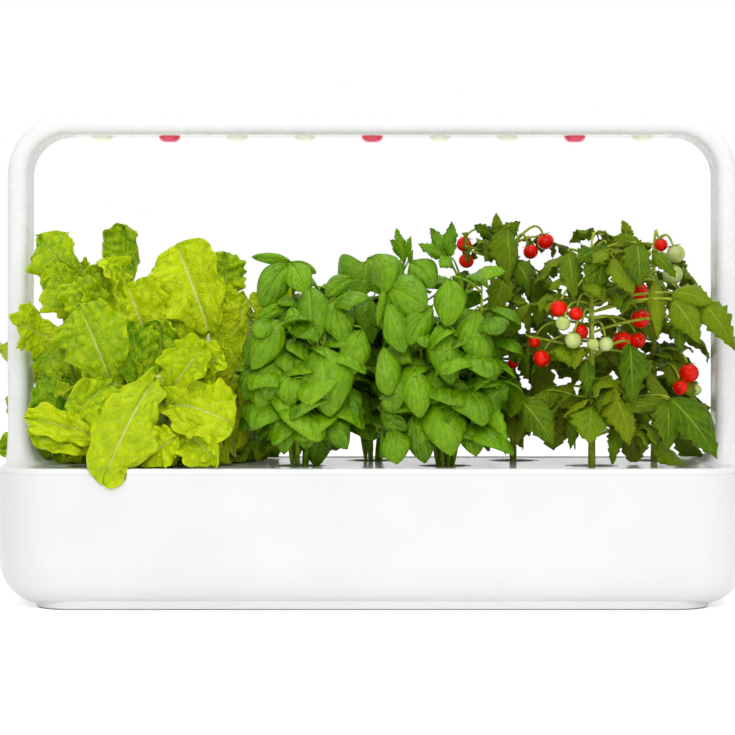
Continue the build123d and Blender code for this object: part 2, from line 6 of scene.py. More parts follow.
import bpy
import numpy as np
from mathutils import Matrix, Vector


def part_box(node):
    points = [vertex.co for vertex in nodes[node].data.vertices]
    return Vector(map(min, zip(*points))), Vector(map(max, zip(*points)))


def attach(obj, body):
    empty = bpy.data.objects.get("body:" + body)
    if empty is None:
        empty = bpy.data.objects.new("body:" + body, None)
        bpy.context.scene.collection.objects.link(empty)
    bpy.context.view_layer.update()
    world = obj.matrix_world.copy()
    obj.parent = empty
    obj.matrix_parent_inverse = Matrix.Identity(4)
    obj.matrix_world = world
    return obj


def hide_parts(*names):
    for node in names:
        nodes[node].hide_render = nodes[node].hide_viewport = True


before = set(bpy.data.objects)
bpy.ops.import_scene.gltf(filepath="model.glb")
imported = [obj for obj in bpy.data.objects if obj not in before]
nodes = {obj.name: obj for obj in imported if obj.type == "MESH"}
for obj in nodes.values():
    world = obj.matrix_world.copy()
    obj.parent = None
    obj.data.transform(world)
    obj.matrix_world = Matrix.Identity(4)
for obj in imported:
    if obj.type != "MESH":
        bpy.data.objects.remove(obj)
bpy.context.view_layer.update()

mm = 0.001
lettuce_pods, basil_pods, tomato_pods = (1, 2, 3), (4, 5, 6), (7, 8, 9)
deck_top = 116.4 * mm
lens_pitch = 57.4 * mm
fine_peel = 0.006 * mm
white = (1, 1, 1, 1)

# the camera: pixels across its frame, its place, its focal length and optical centre in pixels
frame_pixels = 735
eye_distance, eye_height = 2000 * mm, 234.8 * mm
focal_pixels, centre_column, centre_row = 2352.0, 372.3, 323.7


def seen_at(column, row, depth):
    """The place at a depth (y, in mm) that the camera shows at a column and row of its frame."""
    scale = (eye_distance + depth * mm) / focal_pixels
    return np.array([(column - centre_column) * scale, depth * mm, eye_height + (centre_row - row) * scale])


def pod_middle(number):
    """Plan position of a pod's axis, and the top of its growing medium."""
    low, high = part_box(f"grow_plug_{number}")
    return np.array([(low.x + high.x) / 2, (low.y + high.y) / 2, high.z])


pod_places = {number: pod_middle(number) for number in range(1, 10)}
lid_half_depth = -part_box("lid_deck")[0].y
arm_low, arm_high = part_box("right_extension_arm")
# Every plant keeps to its own plan cell. The borders wind a little, and the front lettuce's cell
# reaches further towards the first basil.
cell_gap = 0.4 * mm
cell_shift = {(2, 4): 12 * mm}
cell_wave, cell_wave_length = 7 * mm, 52 * mm


# ---- colours and shader helpers ----
def srgb(red, green, blue):
    """A screen colour of 0 to 255 as the linear colour a shader takes."""
    def linear(value):
        share = value / 255
        return share / 12.92 if share <= 0.04045 else ((share + 0.055) / 1.055) ** 2.4
    return linear(red), linear(green), linear(blue), 1.0


def wire(tree, node, inputs):
    """Feeds a node's inputs, by name or number: another node's socket is linked, a value is set."""
    for name, value in inputs.items():
        if isinstance(value, bpy.types.NodeSocket):
            tree.links.new(value, node.inputs[name])
        else:
            node.inputs[name].default_value = value


def add_node(tree, kind, inputs, **settings):
    node = tree.nodes.new(kind)
    for name, value in settings.items():
        setattr(node, name, value)
    wire(tree, node, inputs)
    return node


def math_node(tree, operation, first, second=0.0, third=0.0, clamp=False):
    return add_node(tree, "ShaderNodeMath", {0: first, 1: second, 2: third},
                    operation=operation, use_clamp=clamp).outputs[0]


def times(tree, first, second):
    return math_node(tree, "MULTIPLY", first, second)


def mix_colour(tree, share, first, second):
    return add_node(tree, "ShaderNodeMix", {0: share, 6: first, 7: second}, data_type="RGBA").outputs[2]


def spread(tree, value, low, high, to_low=0.0, to_high=1.0):
    """Maps value from low..high to to_low..to_high, with soft ends."""
    return add_node(tree, "ShaderNodeMapRange", {0: value, 1: low, 2: high, 3: to_low, 4: to_high},
                    interpolation_type="SMOOTHSTEP").outputs[0]


def noise(tree, place, scale, detail=2.0, **more):
    return add_node(tree, "ShaderNodeTexNoise",
                    {"Vector": place, "Scale": scale, "Detail": detail, **more}).outputs[0]


def start_group(name, places, values):
    """Starts a shader node group with named vector and value inputs; gives it and its input sockets."""
    tree = bpy.data.node_groups.new(name, "ShaderNodeTree")
    for kind, sockets in (("NodeSocketVector", places), ("NodeSocketFloat", values)):
        for socket in sockets:
            tree.interface.new_socket(name=socket, in_out="INPUT", socket_type=kind)
    return tree, tree.nodes.new("NodeGroupInput").outputs


def end_group(tree, outputs):
    """Gives a shader node group its outputs, each a value that varies over the surface."""
    for name in outputs:
        tree.interface.new_socket(name=name, in_out="OUTPUT", socket_type="NodeSocketFloat")
    wire(tree, tree.nodes.new("NodeGroupOutput"), outputs)
    return tree


def place_group(tree, group, inputs):
    return add_node(tree, "ShaderNodeGroup", inputs, node_tree=group).outputs


def make_moulded_group():
    """Fine orange peel of moulded plastic, its faint clouds and the wander of its polish."""
    tree, given = start_group("moulded_surface", ["Vector"], ["Peel Size"])
    cloud = noise(tree, given["Vector"], 9.0)
    polish = noise(tree, given["Vector"], 60.0, 4.0)
    return end_group(tree, {"Height": noise(tree, given["Vector"], given["Peel Size"], 3.0, Roughness=0.6),
                            "Cloud": spread(tree, cloud, 0.3, 0.7),
                            "Polish": spread(tree, polish, 0.35, 0.65)})


def make_leaf_group():
    """Veins and blistered tissue of a leaf, from its own lengthways map and its map in metres."""
    tree, given = start_group("leaf_tissue", ["Leaf", "Tissue"],
                              ["Vein Pairs", "Vein Rise", "Vein Width", "Vein Wander", "Blister Size"])
    leaf_place = add_node(tree, "ShaderNodeSeparateXYZ", {0: given["Leaf"]}).outputs
    across = math_node(tree, "ABSOLUTE", math_node(tree, "MULTIPLY_ADD", leaf_place[0], 2.0, -1.0))
    along = leaf_place[1]
    wobble = noise(tree, given["Tissue"], 90.0, 1.0)
    rise = times(tree, math_node(tree, "POWER", across, 0.8), given["Vein Rise"])
    phase = math_node(tree, "SUBTRACT", along, rise)
    phase = math_node(tree, "MULTIPLY_ADD", wobble, given["Vein Wander"], phase)
    ridge = math_node(tree, "PINGPONG", times(tree, phase, given["Vein Pairs"]), 0.5)
    veins = spread(tree, ridge, 0.0, given["Vein Width"], 1.0, 0.0)
    rib_width = math_node(tree, "MULTIPLY_ADD", along, -0.055, 0.075)
    midrib = spread(tree, math_node(tree, "DIVIDE", across, rib_width), 0.35, 1.0, 1.0, 0.0)
    net = add_node(tree, "ShaderNodeTexVoronoi",
                   {"Vector": given["Tissue"], "Scale": given["Blister Size"]}, feature="DISTANCE_TO_EDGE")
    blisters = spread(tree, net.outputs["Distance"], 0.0, 0.16)
    height = math_node(tree, "MULTIPLY_ADD", blisters, 0.7, times(tree, ridge, 0.9))
    return end_group(tree, {"Midrib": midrib,
                            "Veins": times(tree, veins, spread(tree, across, 0.55, 1.0, 1.0, 0.15)),
                            "Net": math_node(tree, "SUBTRACT", 1.0, blisters),
                            "Tone": spread(tree, noise(tree, given["Tissue"], 95.0, 4.0), 0.3, 0.7),
                            "Height": math_node(tree, "MULTIPLY_ADD", midrib, -0.5, height),
                            "Edge": spread(tree, across, 0.86, 1.0)})


def make_skin_group():
    """Speckles and faint streaks of fruit, stems and foam."""
    tree, given = start_group("speckled_skin", ["Vector"], ["Speckle Size"])
    dots = add_node(tree, "ShaderNodeTexVoronoi",
                    {"Vector": given["Vector"], "Scale": given["Speckle Size"]}).outputs["Distance"]
    streak = noise(tree, given["Vector"], 90.0, 4.0, Distortion=0.6)
    return end_group(tree, {"Speckle": spread(tree, dots, 0.05, 0.35, 1.0, 0.0),
                            "Streak": spread(tree, streak, 0.35, 0.65), "Height": dots})


moulded_group = make_moulded_group()
leaf_group = make_leaf_group()
skin_group = make_skin_group()


def start_material(name, **constants):
    """Material with a Principled shader whose plain sockets are set; gives it, its tree and shader."""
    material = bpy.data.materials.new(name)
    material.use_nodes = True
    shader = material.node_tree.nodes["Principled BSDF"]
    for socket, value in constants.items():
        shader.inputs[socket.replace("_", " ")].default_value = value
    return material, material.node_tree, shader


def object_place(tree):
    return tree.nodes.new("ShaderNodeTexCoord").outputs["Object"]


def own_map(tree, name):
    return add_node(tree, "ShaderNodeUVMap", {}, uv_map=name).outputs[0]


def bump(tree, height, strength, distance):
    return add_node(tree, "ShaderNodeBump", {"Height": height, "Strength": strength,
                                             "Distance": distance}).outputs[0]


# ---- materials of the moulded and electric parts ----
def start_plastic(name, light, dark, rough, depth=0.02 * mm, **constants):
    """Moulded plastic: two near tones, a fine peel and a roughness that wanders a little."""
    material, tree, shader = start_material(name, **constants)
    surface = place_group(tree, moulded_group, {"Vector": object_place(tree), "Peel Size": 1400.0})
    wire(tree, shader, {"Base Color": mix_colour(tree, surface["Cloud"], srgb(*dark), srgb(*light)),
                        "Roughness": spread(tree, surface["Polish"], 0.0, 1.0, rough - 0.05, rough + 0.05),
                        "Normal": bump(tree, surface["Height"], 0.35, depth)})
    return material, tree, shader, surface["Polish"]


def moulded_plastic(*looks, **constants):
    return start_plastic(*looks, **constants)[0]


def make_lid_plastic():
    """White lid: satin rim, with the polished deck panel inside its border."""
    material, tree, shader, polish = start_plastic("lid_plastic", (250, 250, 251), (247, 247, 248), 0.34)
    satin = shader.inputs["Roughness"].links[0].from_socket
    place = add_node(tree, "ShaderNodeSeparateXYZ", {0: object_place(tree)}).outputs
    inside_ends = math_node(tree, "LESS_THAN", math_node(tree, "ABSOLUTE", place[0]), 280 * mm)
    inside_sides = math_node(tree, "LESS_THAN", math_node(tree, "ABSOLUTE", place[1]), 86.5 * mm)
    above = math_node(tree, "GREATER_THAN", place[2], deck_top - 0.3 * mm)
    below = math_node(tree, "LESS_THAN", place[2], deck_top + 0.2 * mm)
    panel = times(tree, times(tree, inside_ends, inside_sides), times(tree, above, below))
    polished = spread(tree, polish, 0.0, 1.0, 0.14, 0.18)
    change = math_node(tree, "SUBTRACT", polished, satin)
    wire(tree, shader, {"Roughness": math_node(tree, "MULTIPLY_ADD", panel, change, satin)})
    return material


def make_lens_material(name, centre, ring, edge, glow, glow_colour):
    """Ringed lens over one LED: the rings follow each lens's own axis along the lamp."""
    material, tree, shader = start_material(name, Roughness=0.12, IOR=1.49, Coat_Weight=0.4,
                                            Emission_Strength=glow)
    place = add_node(tree, "ShaderNodeSeparateXYZ", {0: object_place(tree)}).outputs
    always_positive = math_node(tree, "ADD", place[0], 10 * lens_pitch)
    along = math_node(tree, "PINGPONG", always_positive, lens_pitch / 2)
    square = math_node(tree, "MULTIPLY_ADD", place[1], place[1], times(tree, along, along))
    radius = math_node(tree, "SQRT", square)
    inner = spread(tree, radius, 2.5 * mm, 5.2 * mm)
    outer = spread(tree, radius, 7.2 * mm, 9.6 * mm)
    rings = math_node(tree, "SINE", times(tree, radius, 4200.0))
    middle_colour = mix_colour(tree, inner, srgb(*centre), srgb(*ring))
    wire(tree, shader, {"Base Color": mix_colour(tree, outer, middle_colour, srgb(*edge)),
                        "Emission Color": mix_colour(tree, outer, srgb(*glow_colour), srgb(*edge)),
                        "Normal": bump(tree, rings, 0.5, 0.1 * mm)})
    return material


def make_metal(name, light, dark, rough):
    """Metal with short marks drawn out along one way."""
    material, tree, shader = start_material(name, Metallic=1.0)
    drawn = add_node(tree, "ShaderNodeMapping", {"Vector": object_place(tree), "Scale": (1.0, 1.0, 14.0)})
    marks = noise(tree, drawn.outputs[0], 900.0, 5.0)
    wire(tree, shader, {"Base Color": mix_colour(tree, spread(tree, marks, 0.35, 0.65), dark, light),
                        "Roughness": spread(tree, marks, 0.3, 0.7, rough - 0.08, rough + 0.1),
                        "Normal": bump(tree, marks, 0.2, 0.03 * mm)})
    return material


def make_circuit_board():
    """Green board with fine copper tracks under its lacquer."""
    material, tree, shader = start_material("circuit_board", Roughness=0.32, Coat_Weight=0.3)
    tracks = add_node(tree, "ShaderNodeTexBrick",
                      {"Vector": object_place(tree), "Scale": 160.0, "Mortar Size": 0.06,
                       "Color1": srgb(18, 74, 38), "Color2": srgb(14, 64, 34), "Mortar": srgb(44, 110, 58)})
    wire(tree, shader, {"Base Color": tracks.outputs[0],
                        "Normal": bump(tree, tracks.outputs[1], 0.4, 0.05 * mm)})
    return material


def make_float_foam():
    """Pale closed foam with fine cells."""
    material, tree, shader = start_material("float_foam", Roughness=0.7)
    skin = place_group(tree, skin_group, {"Vector": object_place(tree), "Speckle Size": 900.0})
    wire(tree, shader, {"Base Color": mix_colour(tree, skin["Speckle"], srgb(236, 236, 228),
                                                 srgb(214, 214, 204)),
                        "Normal": bump(tree, skin["Height"], 0.5, 0.2 * mm)})
    return material


def make_growing_medium():
    """Coarse growing medium with paler fibres."""
    material, tree, shader = start_material("growing_medium", Roughness=0.92, Specular_IOR_Level=0.25)
    place = object_place(tree)
    crumbs = add_node(tree, "ShaderNodeTexVoronoi", {"Vector": place, "Scale": 420.0})
    fibres = spread(tree, noise(tree, place, 700.0, 6.0, Distortion=1.4), 0.6, 0.75)
    colour = mix_colour(tree, crumbs.outputs["Color"], srgb(132, 110, 82), srgb(172, 148, 114))
    wire(tree, shader, {"Base Color": mix_colour(tree, fibres, colour, srgb(196, 174, 136)),
                        "Normal": bump(tree, crumbs.outputs["Distance"], 0.9, 1.2 * mm)})
    return material


# ---- materials of the plants ----
leaf_sheen = (0.8, 1.0, 0.3, 1.0)


def make_leaf_material(name, light, dark, vein, under, tip, pairs, rise, wander, blister, rough, gloss,
                       relief, net_show, vein_show, rib_show):
    """Leaf: tissue of two tones, paler veins and underside, its own tone on every leaf, with painted shade
    in the valleys of its quilting and blisters.
    """
    material, tree, shader = start_material(name, Subsurface_Weight=0.12, Subsurface_Scale=2 * mm,
                                            Subsurface_Radius=(0.5, 1.0, 0.15),
                                            Specular_IOR_Level=gloss, Specular_Tint=leaf_sheen)
    tissue = place_group(tree, leaf_group,
                         {"Leaf": own_map(tree, "leaf"), "Tissue": own_map(tree, "tissue"),
                          "Vein Pairs": pairs, "Vein Rise": rise, "Vein Width": 0.09,
                          "Vein Wander": wander, "Blister Size": blister})
    own = add_node(tree, "ShaderNodeAttribute", {}, attribute_name="leaf_tone")
    tones = add_node(tree, "ShaderNodeSeparateColor", {0: own.outputs["Color"]}).outputs
    tone_and_painted_shade, is_under, yellowing = tones[0], tones[1], tones[2]
    share = math_node(tree, "MULTIPLY_ADD", tissue["Tone"], 0.35, times(tree, tone_and_painted_shade, 0.65), clamp=True)
    rib = math_node(tree, "MULTIPLY_ADD", yellowing, 1 - rib_show, rib_show)
    colour = mix_colour(tree, share, srgb(*dark), srgb(*light))
    for mask, strength, layer in ((yellowing, 0.7, tip), (tissue["Net"], net_show, vein),
                                  (tissue["Veins"], vein_show, vein), (tissue["Midrib"], rib, vein),
                                  (tissue["Edge"], 0.45, tip), (is_under, 0.5, under)):
        colour = mix_colour(tree, times(tree, mask, strength), colour, srgb(*layer))
    wire(tree, shader, {"Base Color": colour,
                        "Roughness": spread(tree, tissue["Tone"], 0.0, 1.0, rough - 0.06, rough + 0.1),
                        "Normal": bump(tree, tissue["Height"], relief, 0.7 * mm)})
    return material


def make_stem_material(name, light, dark):
    material, tree, shader = start_material(name, Roughness=0.5, Subsurface_Weight=0.1,
                                            Subsurface_Scale=2 * mm, Specular_IOR_Level=0.3,
                                            Specular_Tint=leaf_sheen)
    skin = place_group(tree, skin_group, {"Vector": object_place(tree), "Speckle Size": 700.0})
    wire(tree, shader, {"Base Color": mix_colour(tree, skin["Streak"], srgb(*dark), srgb(*light)),
                        "Normal": bump(tree, skin["Height"], 0.4, 0.2 * mm)})
    return material


def make_fruit_material(name, light, dark, shoulder, rough, sheen):
    """Shiny skin, a little paler round the stalk end, with faint speckles."""
    material, tree, shader = start_material(name, Roughness=rough, Coat_Weight=0.2, Coat_Roughness=0.05,
                                            Subsurface_Weight=0.15, Subsurface_Scale=3 * mm,
                                            Specular_IOR_Level=0.3, Specular_Tint=sheen)
    skin = place_group(tree, skin_group, {"Vector": object_place(tree), "Speckle Size": 1500.0})
    down = add_node(tree, "ShaderNodeSeparateXYZ", {0: own_map(tree, "leaf")}).outputs[1]
    colour = mix_colour(tree, skin["Streak"], srgb(*dark), srgb(*light))
    colour = mix_colour(tree, spread(tree, down, 0.0, 0.45, 0.75, 0.0), colour, srgb(*shoulder))
    wire(tree, shader, {"Base Color": mix_colour(tree, times(tree, skin["Speckle"], 0.12), colour,
                                                 srgb(*shoulder)),
                        "Normal": bump(tree, skin["Streak"], 0.12, 0.3 * mm)})
    return material


lettuce_leaf = make_leaf_material(
    "lettuce_leaf", light=(208, 228, 0), dark=(78, 144, 0), vein=(232, 238, 150), under=(196, 216, 30),
    tip=(208, 228, 10), pairs=6.0, rise=0.5, wander=0.14, blister=170.0, rough=0.36, gloss=0.35, relief=0.9,
    net_show=0.04, vein_show=0.1, rib_show=0.3)
basil_leaf = make_leaf_material(
    "basil_leaf", light=(130, 182, 0), dark=(44, 100, 0), vein=(156, 194, 36), under=(140, 178, 30),
    tip=(110, 166, 0), pairs=3.4, rise=0.8, wander=0.03, blister=380.0, rough=0.24, gloss=0.6, relief=0.5,
    net_show=0.06, vein_show=0.25, rib_show=0.45)
tomato_leaf = make_leaf_material(
    "tomato_leaf", light=(112, 144, 4), dark=(34, 78, 0), vein=(146, 172, 50), under=(140, 152, 40),
    tip=(156, 160, 10), pairs=6.0, rise=0.45, wander=0.06, blister=460.0, rough=0.45, gloss=0.25,
    relief=0.6, net_show=0.15, vein_show=0.4, rib_show=0.7)
lettuce_stem = make_stem_material("lettuce_rib", (226, 236, 170), (196, 216, 104))
basil_stem = make_stem_material("basil_stem", (158, 190, 40), (110, 152, 16))
tomato_stem = make_stem_material("tomato_stem", (186, 200, 70), (136, 160, 30))
ripe_skin = make_fruit_material("tomato_red", (255, 26, 2), (232, 12, 0), (240, 64, 4), 0.2,
                                (1.0, 0.35, 0.2, 1.0))
unripe_skin = make_fruit_material("tomato_green", (216, 226, 150), (188, 206, 112), (156, 186, 80), 0.24,
                                  leaf_sheen)


# ---- leaf and stem meshes ----
def along_curve(points, share):
    """Points and directions of a cubic Bezier curve at the shares of its length."""
    start, first, second, end = (np.array(p, float) for p in points)
    t = share[:, None]
    u = 1 - t
    place = u ** 3 * start + 3 * u * u * t * first + 3 * u * t * t * second + t ** 3 * end
    way = 3 * u * u * (first - start) + 6 * u * t * (second - first) + 3 * t * t * (end - second)
    return place, way / np.maximum(np.linalg.norm(way, axis=1, keepdims=True), 1e-9)


def straight(start, end, share=0.3):
    """Bezier points of a straight stalk."""
    return [start, start * (1 - share) + end * share, start * share + end * (1 - share), end]


def unit(vectors):
    return vectors / np.maximum(np.linalg.norm(vectors, axis=-1, keepdims=True), 1e-12)


def direction(turn, climb):
    """Unit vector for a plan angle and a climb angle, both in degrees."""
    a, c = math.radians(turn), math.radians(climb)
    return np.array([math.cos(a) * math.cos(c), math.sin(a) * math.cos(c), math.sin(c)])


def upwards(height):
    return np.array([0, 0, height])


def show(name, data):
    """Puts a mesh, lamp or camera in the scene, at the origin."""
    holder = bpy.data.objects.new(name, data)
    bpy.context.scene.collection.objects.link(holder)
    return holder


class Foliage:
    """One plant's leaves, stems and fruit, gathered into a single mesh."""

    def __init__(self, number):
        self.number = number
        self.pieces = []
        self.count = 0

    def add(self, points, faces, leaf_map, tissue_map, tones, finish):
        """Adds a piece; finish is the place of its material in the plant's list."""
        self.pieces.append((points, faces + self.count, leaf_map, tissue_map, tones,
                            np.full(len(faces), finish, np.int32)))
        self.count += len(points)

    def build(self, name, materials):
        points, faces, leaf_map, tissue_map, tones, finishes = (
            np.concatenate(parts) for parts in zip(*self.pieces))
        mesh = bpy.data.meshes.new(name)
        mesh.from_pydata(keep_in_cell(self.number, points).tolist(), [], faces.tolist())
        mesh.polygons.foreach_set("material_index", finishes)
        mesh.polygons.foreach_set("use_smooth", np.ones(len(faces), bool))
        corners = np.zeros(len(mesh.loops), np.int32)
        mesh.loops.foreach_get("vertex_index", corners)
        for title, values in (("leaf", leaf_map), ("tissue", tissue_map)):
            layer = mesh.uv_layers.new(name=title)
            layer.data.foreach_set("uv", values[corners].astype(np.float32).ravel())
        tone = mesh.color_attributes.new("leaf_tone", "FLOAT_COLOR", "POINT")
        tone.data.foreach_set("color", tones.astype(np.float32).ravel())
        for material in materials:
            mesh.materials.append(material)
        mesh.update()
        return show(name, mesh)


def eased_to(limit, distance, ease):
    """How far to draw points back so that their distances stay under a limit, eased near it."""
    over = distance - limit + ease
    return np.where(over > 0, over - ease + ease * np.exp(-np.maximum(over, 0) / ease), 0)


def keep_in_cell(number, points):
    """Eases the points back into the pod's own plan cell and off the lid, so each pod lifts out freely."""
    cell_ease = 16 * mm if number in lettuce_pods else 7 * mm
    middle = pod_places[number][:2]
    place = points.copy()
    for other in (number - 2, number - 1, number + 1, number + 2):
        if other not in pod_places:
            continue
        away = pod_places[other][:2] - middle
        apart = np.linalg.norm(away)
        away = away / apart
        hand = 1 if number < other else -1
        pair = (min(number, other), max(number, other))
        along = place[:, :2] @ np.array([-away[1], away[0]]) * hand
        wave = cell_wave * np.sin(math.tau * along / cell_wave_length + 2.4 * pair[0])
        half = apart / 2 + hand * (cell_shift.get(pair, 0) + wave)
        distance = (place[:, :2] - middle) @ away
        place[:, :2] -= np.outer(eased_to(half - cell_gap, distance, cell_ease), away)
    # beside the arms a plant stays between them, and in front of them it may reach past
    past_arm = np.clip((np.abs(place[:, 1]) - arm_high.y - 2 * mm) / (12 * mm), 0, 1)
    limit = arm_low.x - 1.5 * mm + past_arm ** 2 * (3 - 2 * past_arm) * 38 * mm
    place[:, 0] -= np.sign(place[:, 0]) * eased_to(limit, np.abs(place[:, 0]), 6 * mm)
    place[:, 1] -= np.sign(place[:, 1]) * eased_to(lid_half_depth + 6 * mm, np.abs(place[:, 1]), 12 * mm)
    over_lid = np.abs(place[:, 1]) < lid_half_depth + 0.5 * mm
    off_pod = np.linalg.norm(place[:, :2] - middle, axis=1) > 19 * mm
    clear = deck_top + 1.2 * mm
    sunk = over_lid & off_pod & (place[:, 2] < clear)
    place[sunk, 2] = clear + (clear - place[sunk, 2]) * 0.04
    return place


def shell(foliage, grid, leaf_map, tissue_map, tone, relief, thickness, finish):
    """Closed thin shell over a grid of points: rows run along the leaf, columns across it."""
    rows, columns, _ = grid.shape
    out = unit(np.cross(np.gradient(grid, axis=1), np.gradient(grid, axis=0)))
    half = out * thickness / 2
    points = np.concatenate([(grid + half).reshape(-1, 3), (grid - half).reshape(-1, 3)])
    under = rows * columns
    index = np.arange(under).reshape(rows, columns)
    a, b = index[:-1, :-1].ravel(), index[:-1, 1:].ravel()
    c, d = index[1:, 1:].ravel(), index[1:, :-1].ravel()
    top = np.stack([a, b, c, d], 1)
    bottom = np.stack([a, d, c, b], 1) + under
    rim = np.concatenate([index[0, :], index[1:, -1], index[-1, -2::-1], index[-2:0:-1, 0]])
    following = np.roll(rim, -1)
    side = np.stack([following, rim, rim + under, following + under], 1)
    light, yellowing = tone
    tones = np.zeros((2 * under, 4))
    # the first channel is the leaf's own tone plus relief: painted shade, darker in the valleys and lighter
    # on the swells
    tones[:, 0] = np.clip(light + np.tile(relief.ravel(), 2), 0, 1)
    tones[under:, 1] = 1
    tones[:, 2] = yellowing
    tones[:, 3] = 1
    foliage.add(points, np.concatenate([top, bottom, side]), np.tile(leaf_map.reshape(-1, 2), (2, 1)),
                np.tile(tissue_map.reshape(-1, 2), (2, 1)), tones, finish)


def wave_field(across, along, size, rng):
    """Irregular field of about -1 to 1 whose swells are size wide: a sum of waves in random directions."""
    waves = 5
    field = 0
    for _ in range(waves):
        turn = rng.uniform(0, math.pi)
        pitch = math.tau / (size * rng.uniform(0.75, 1.5))
        travelled = (across * math.cos(turn) + along * math.sin(turn)) * pitch
        field = field + np.sin(travelled + rng.uniform(0, math.tau))
    return field / math.sqrt(waves) * 1.1


def leaf(foliage, spine, face, width, form, tone, rng, finish=0):
    """Leaf along a Bezier spine; face is the way its upper side looks, width its widest measure."""
    shares = 1 - (1 - np.linspace(0, 1, form["rows"])) ** 1.5
    place, way = along_curve(spine, shares)
    length = np.linalg.norm(np.diff(place, axis=0), axis=1).sum()
    across = unit(np.cross(way, np.array(face, float)[None, :]))
    out = unit(np.cross(across, way))
    t, s = shares[:, None], np.linspace(-1, 1, form["columns"])[None, :]
    side, hand = np.abs(s), np.sign(s)
    half = form["outline"](t) * width / 2

    uneven_a, uneven_b = rng.uniform(0, math.tau), rng.uniform(0, math.tau)
    margin = 1 - form["tooth"] * side ** 5 * form["teeth"](t) if "teeth" in form else 1.0
    if "uneven" in form:
        swell = np.sin(math.tau * 1.5 * t + uneven_a + hand * uneven_b)
        swell = swell + 0.7 * np.sin(math.tau * 4.1 * t + uneven_b - hand * uneven_a)
        margin = margin * (1 + form["uneven"] * side ** 2 * swell)
    reach = half * s * margin

    cup = form["cup"] + rng.uniform(-1, 1) * form.get("cup_spread", 0.0)
    cup = cup if abs(cup) > 0.02 else 0.02
    wide = np.sin(cup * s) / cup * half * margin
    high = (1 - np.cos(cup * s)) / cup * half + form.get("fold", 0.0) * side * half

    start_a, start_b, start_c = (rng.uniform(0, math.tau) for _ in range(3))
    if "waves" in form:
        wander = t + 0.08 * np.sin(5.3 * t + start_b)
        sway = np.sin(math.tau * form["waves"] * wander + start_a + hand * start_b)
        fine = np.sin(math.tau * form["waves"] * 2.7 * wander + start_c - hand * start_a)
        high = high + form["ruffle"] * (side ** 1.8 * sway + form["frill"] * side ** 4 * fine)
        wide = wide + form["ruffle"] * 0.12 * hand * side ** 3 * fine
    # relief is painted shade: it lowers the tone in quilt valleys and between blisters, and raises it on
    # the swells
    relief = np.zeros(reach.shape)
    if "quilt" in form:
        phase = form["pairs"] * (t - form["rise"] * side ** 0.8)
        swell = (np.abs(np.sin(math.pi * phase)) - 0.6) * np.minimum(side * 5, 1) * (1 - side ** 3)
        high = high + form["quilt"] * swell
        relief = form["relief"] * swell
    if "blister" in form:
        first, second = (wave_field(reach, t * length, form["blister_size"], rng) for _ in "ab")
        bulge = np.minimum(np.abs(first), 1) + np.minimum(np.abs(second), 1)
        high = high + form["blister"] * bulge * np.minimum(side * 4, 1)
        relief = form["relief"] * (bulge - 0.9)
    high = high - form.get("groove", 0.0) * np.exp(-(s / 0.09) ** 2)

    grid = place[:, None, :] + across[:, None, :] * wide[:, :, None] + out[:, None, :] * high[:, :, None]
    leaf_map = np.stack(np.broadcast_arrays((s + 1) / 2, t), 2)
    shift = rng.uniform(0, 3)
    tissue_map = np.stack([reach + shift, np.broadcast_to(t * length + shift, reach.shape)], 2)
    shell(foliage, grid, leaf_map, tissue_map, tone, relief, form["thickness"], finish)


def stem(foliage, points, thick, thin, rng, finish=1, sides=6, rows=10):
    """Round stem along a Bezier curve, tapering from thick to thin, closed at both ends."""
    t = np.linspace(0, 1, rows)
    place, way = along_curve(points, t)
    guide = np.array([0.31, 0.22, 0.92]) if abs(way[0][2]) < 0.9 else np.array([0.95, 0.3, 0.1])
    side = unit(np.cross(way, guide[None, :]))
    other = np.cross(way, side)
    radius = thick + (thin - thick) * t
    radius[[0, -1]] *= 0.6
    turn = np.linspace(0, math.tau, sides, endpoint=False)
    ring = np.cos(turn)[None, :, None] * side[:, None, :] + np.sin(turn)[None, :, None] * other[:, None, :]
    grid = place[:, None, :] + ring * radius[:, None, None]
    tips = np.stack([place[0] - way[0] * radius[0] * 0.5, place[-1] + way[-1] * radius[-1] * 0.5])
    points = np.concatenate([grid.reshape(-1, 3), tips])
    index = np.arange(rows * sides).reshape(rows, sides)
    following = np.roll(index, -1, 1)
    walls = np.stack([index[:-1].ravel(), following[:-1].ravel(), following[1:].ravel(),
                      index[1:].ravel()], 1)
    low, high = np.full(sides // 2, rows * sides), np.full(sides // 2, rows * sides + 1)
    start_cap = np.stack([following[0, ::2], index[0, ::2], low, following[0, 1::2]], 1)
    end_cap = np.stack([index[-1, ::2], following[-1, ::2], following[-1, 1::2], high], 1)
    leaf_map = np.stack([np.tile(turn / math.tau, rows), np.repeat(t, sides)], 1)
    leaf_map = np.concatenate([leaf_map, [[0.5, 0], [0.5, 1]]])
    tones = np.tile([rng.random(), 0, 0, 1], (len(points), 1))
    foliage.add(points, np.concatenate([walls, start_cap, end_cap]), leaf_map, leaf_map * 0.02, tones,
                finish)


# ---- outlines of the three kinds of leaf ----
def rise_and_fall(t, widest):
    """How far a place is from the base to the widest part, and from there to the tip."""
    return np.clip(t / widest, 0, 1), np.clip((t - widest) / (1 - widest), 0, 1)


def lettuce_outline(t):
    """Broad blade: narrow at its base, widest beyond the middle, with a round end."""
    rise, fall = rise_and_fall(t, 0.58)
    return np.clip((0.3 + 0.7 * np.sin(rise * math.pi / 2) ** 1.2) * (1 - fall ** 2.3) ** 0.55, 0.05, 1)


def basil_outline(t):
    """Egg-shaped blade with a short point."""
    rise, fall = rise_and_fall(t, 0.4)
    return np.clip(np.sin(rise * math.pi / 2) ** 0.6 * np.cos(fall * math.pi / 2) ** 0.62, 0.03, 1)


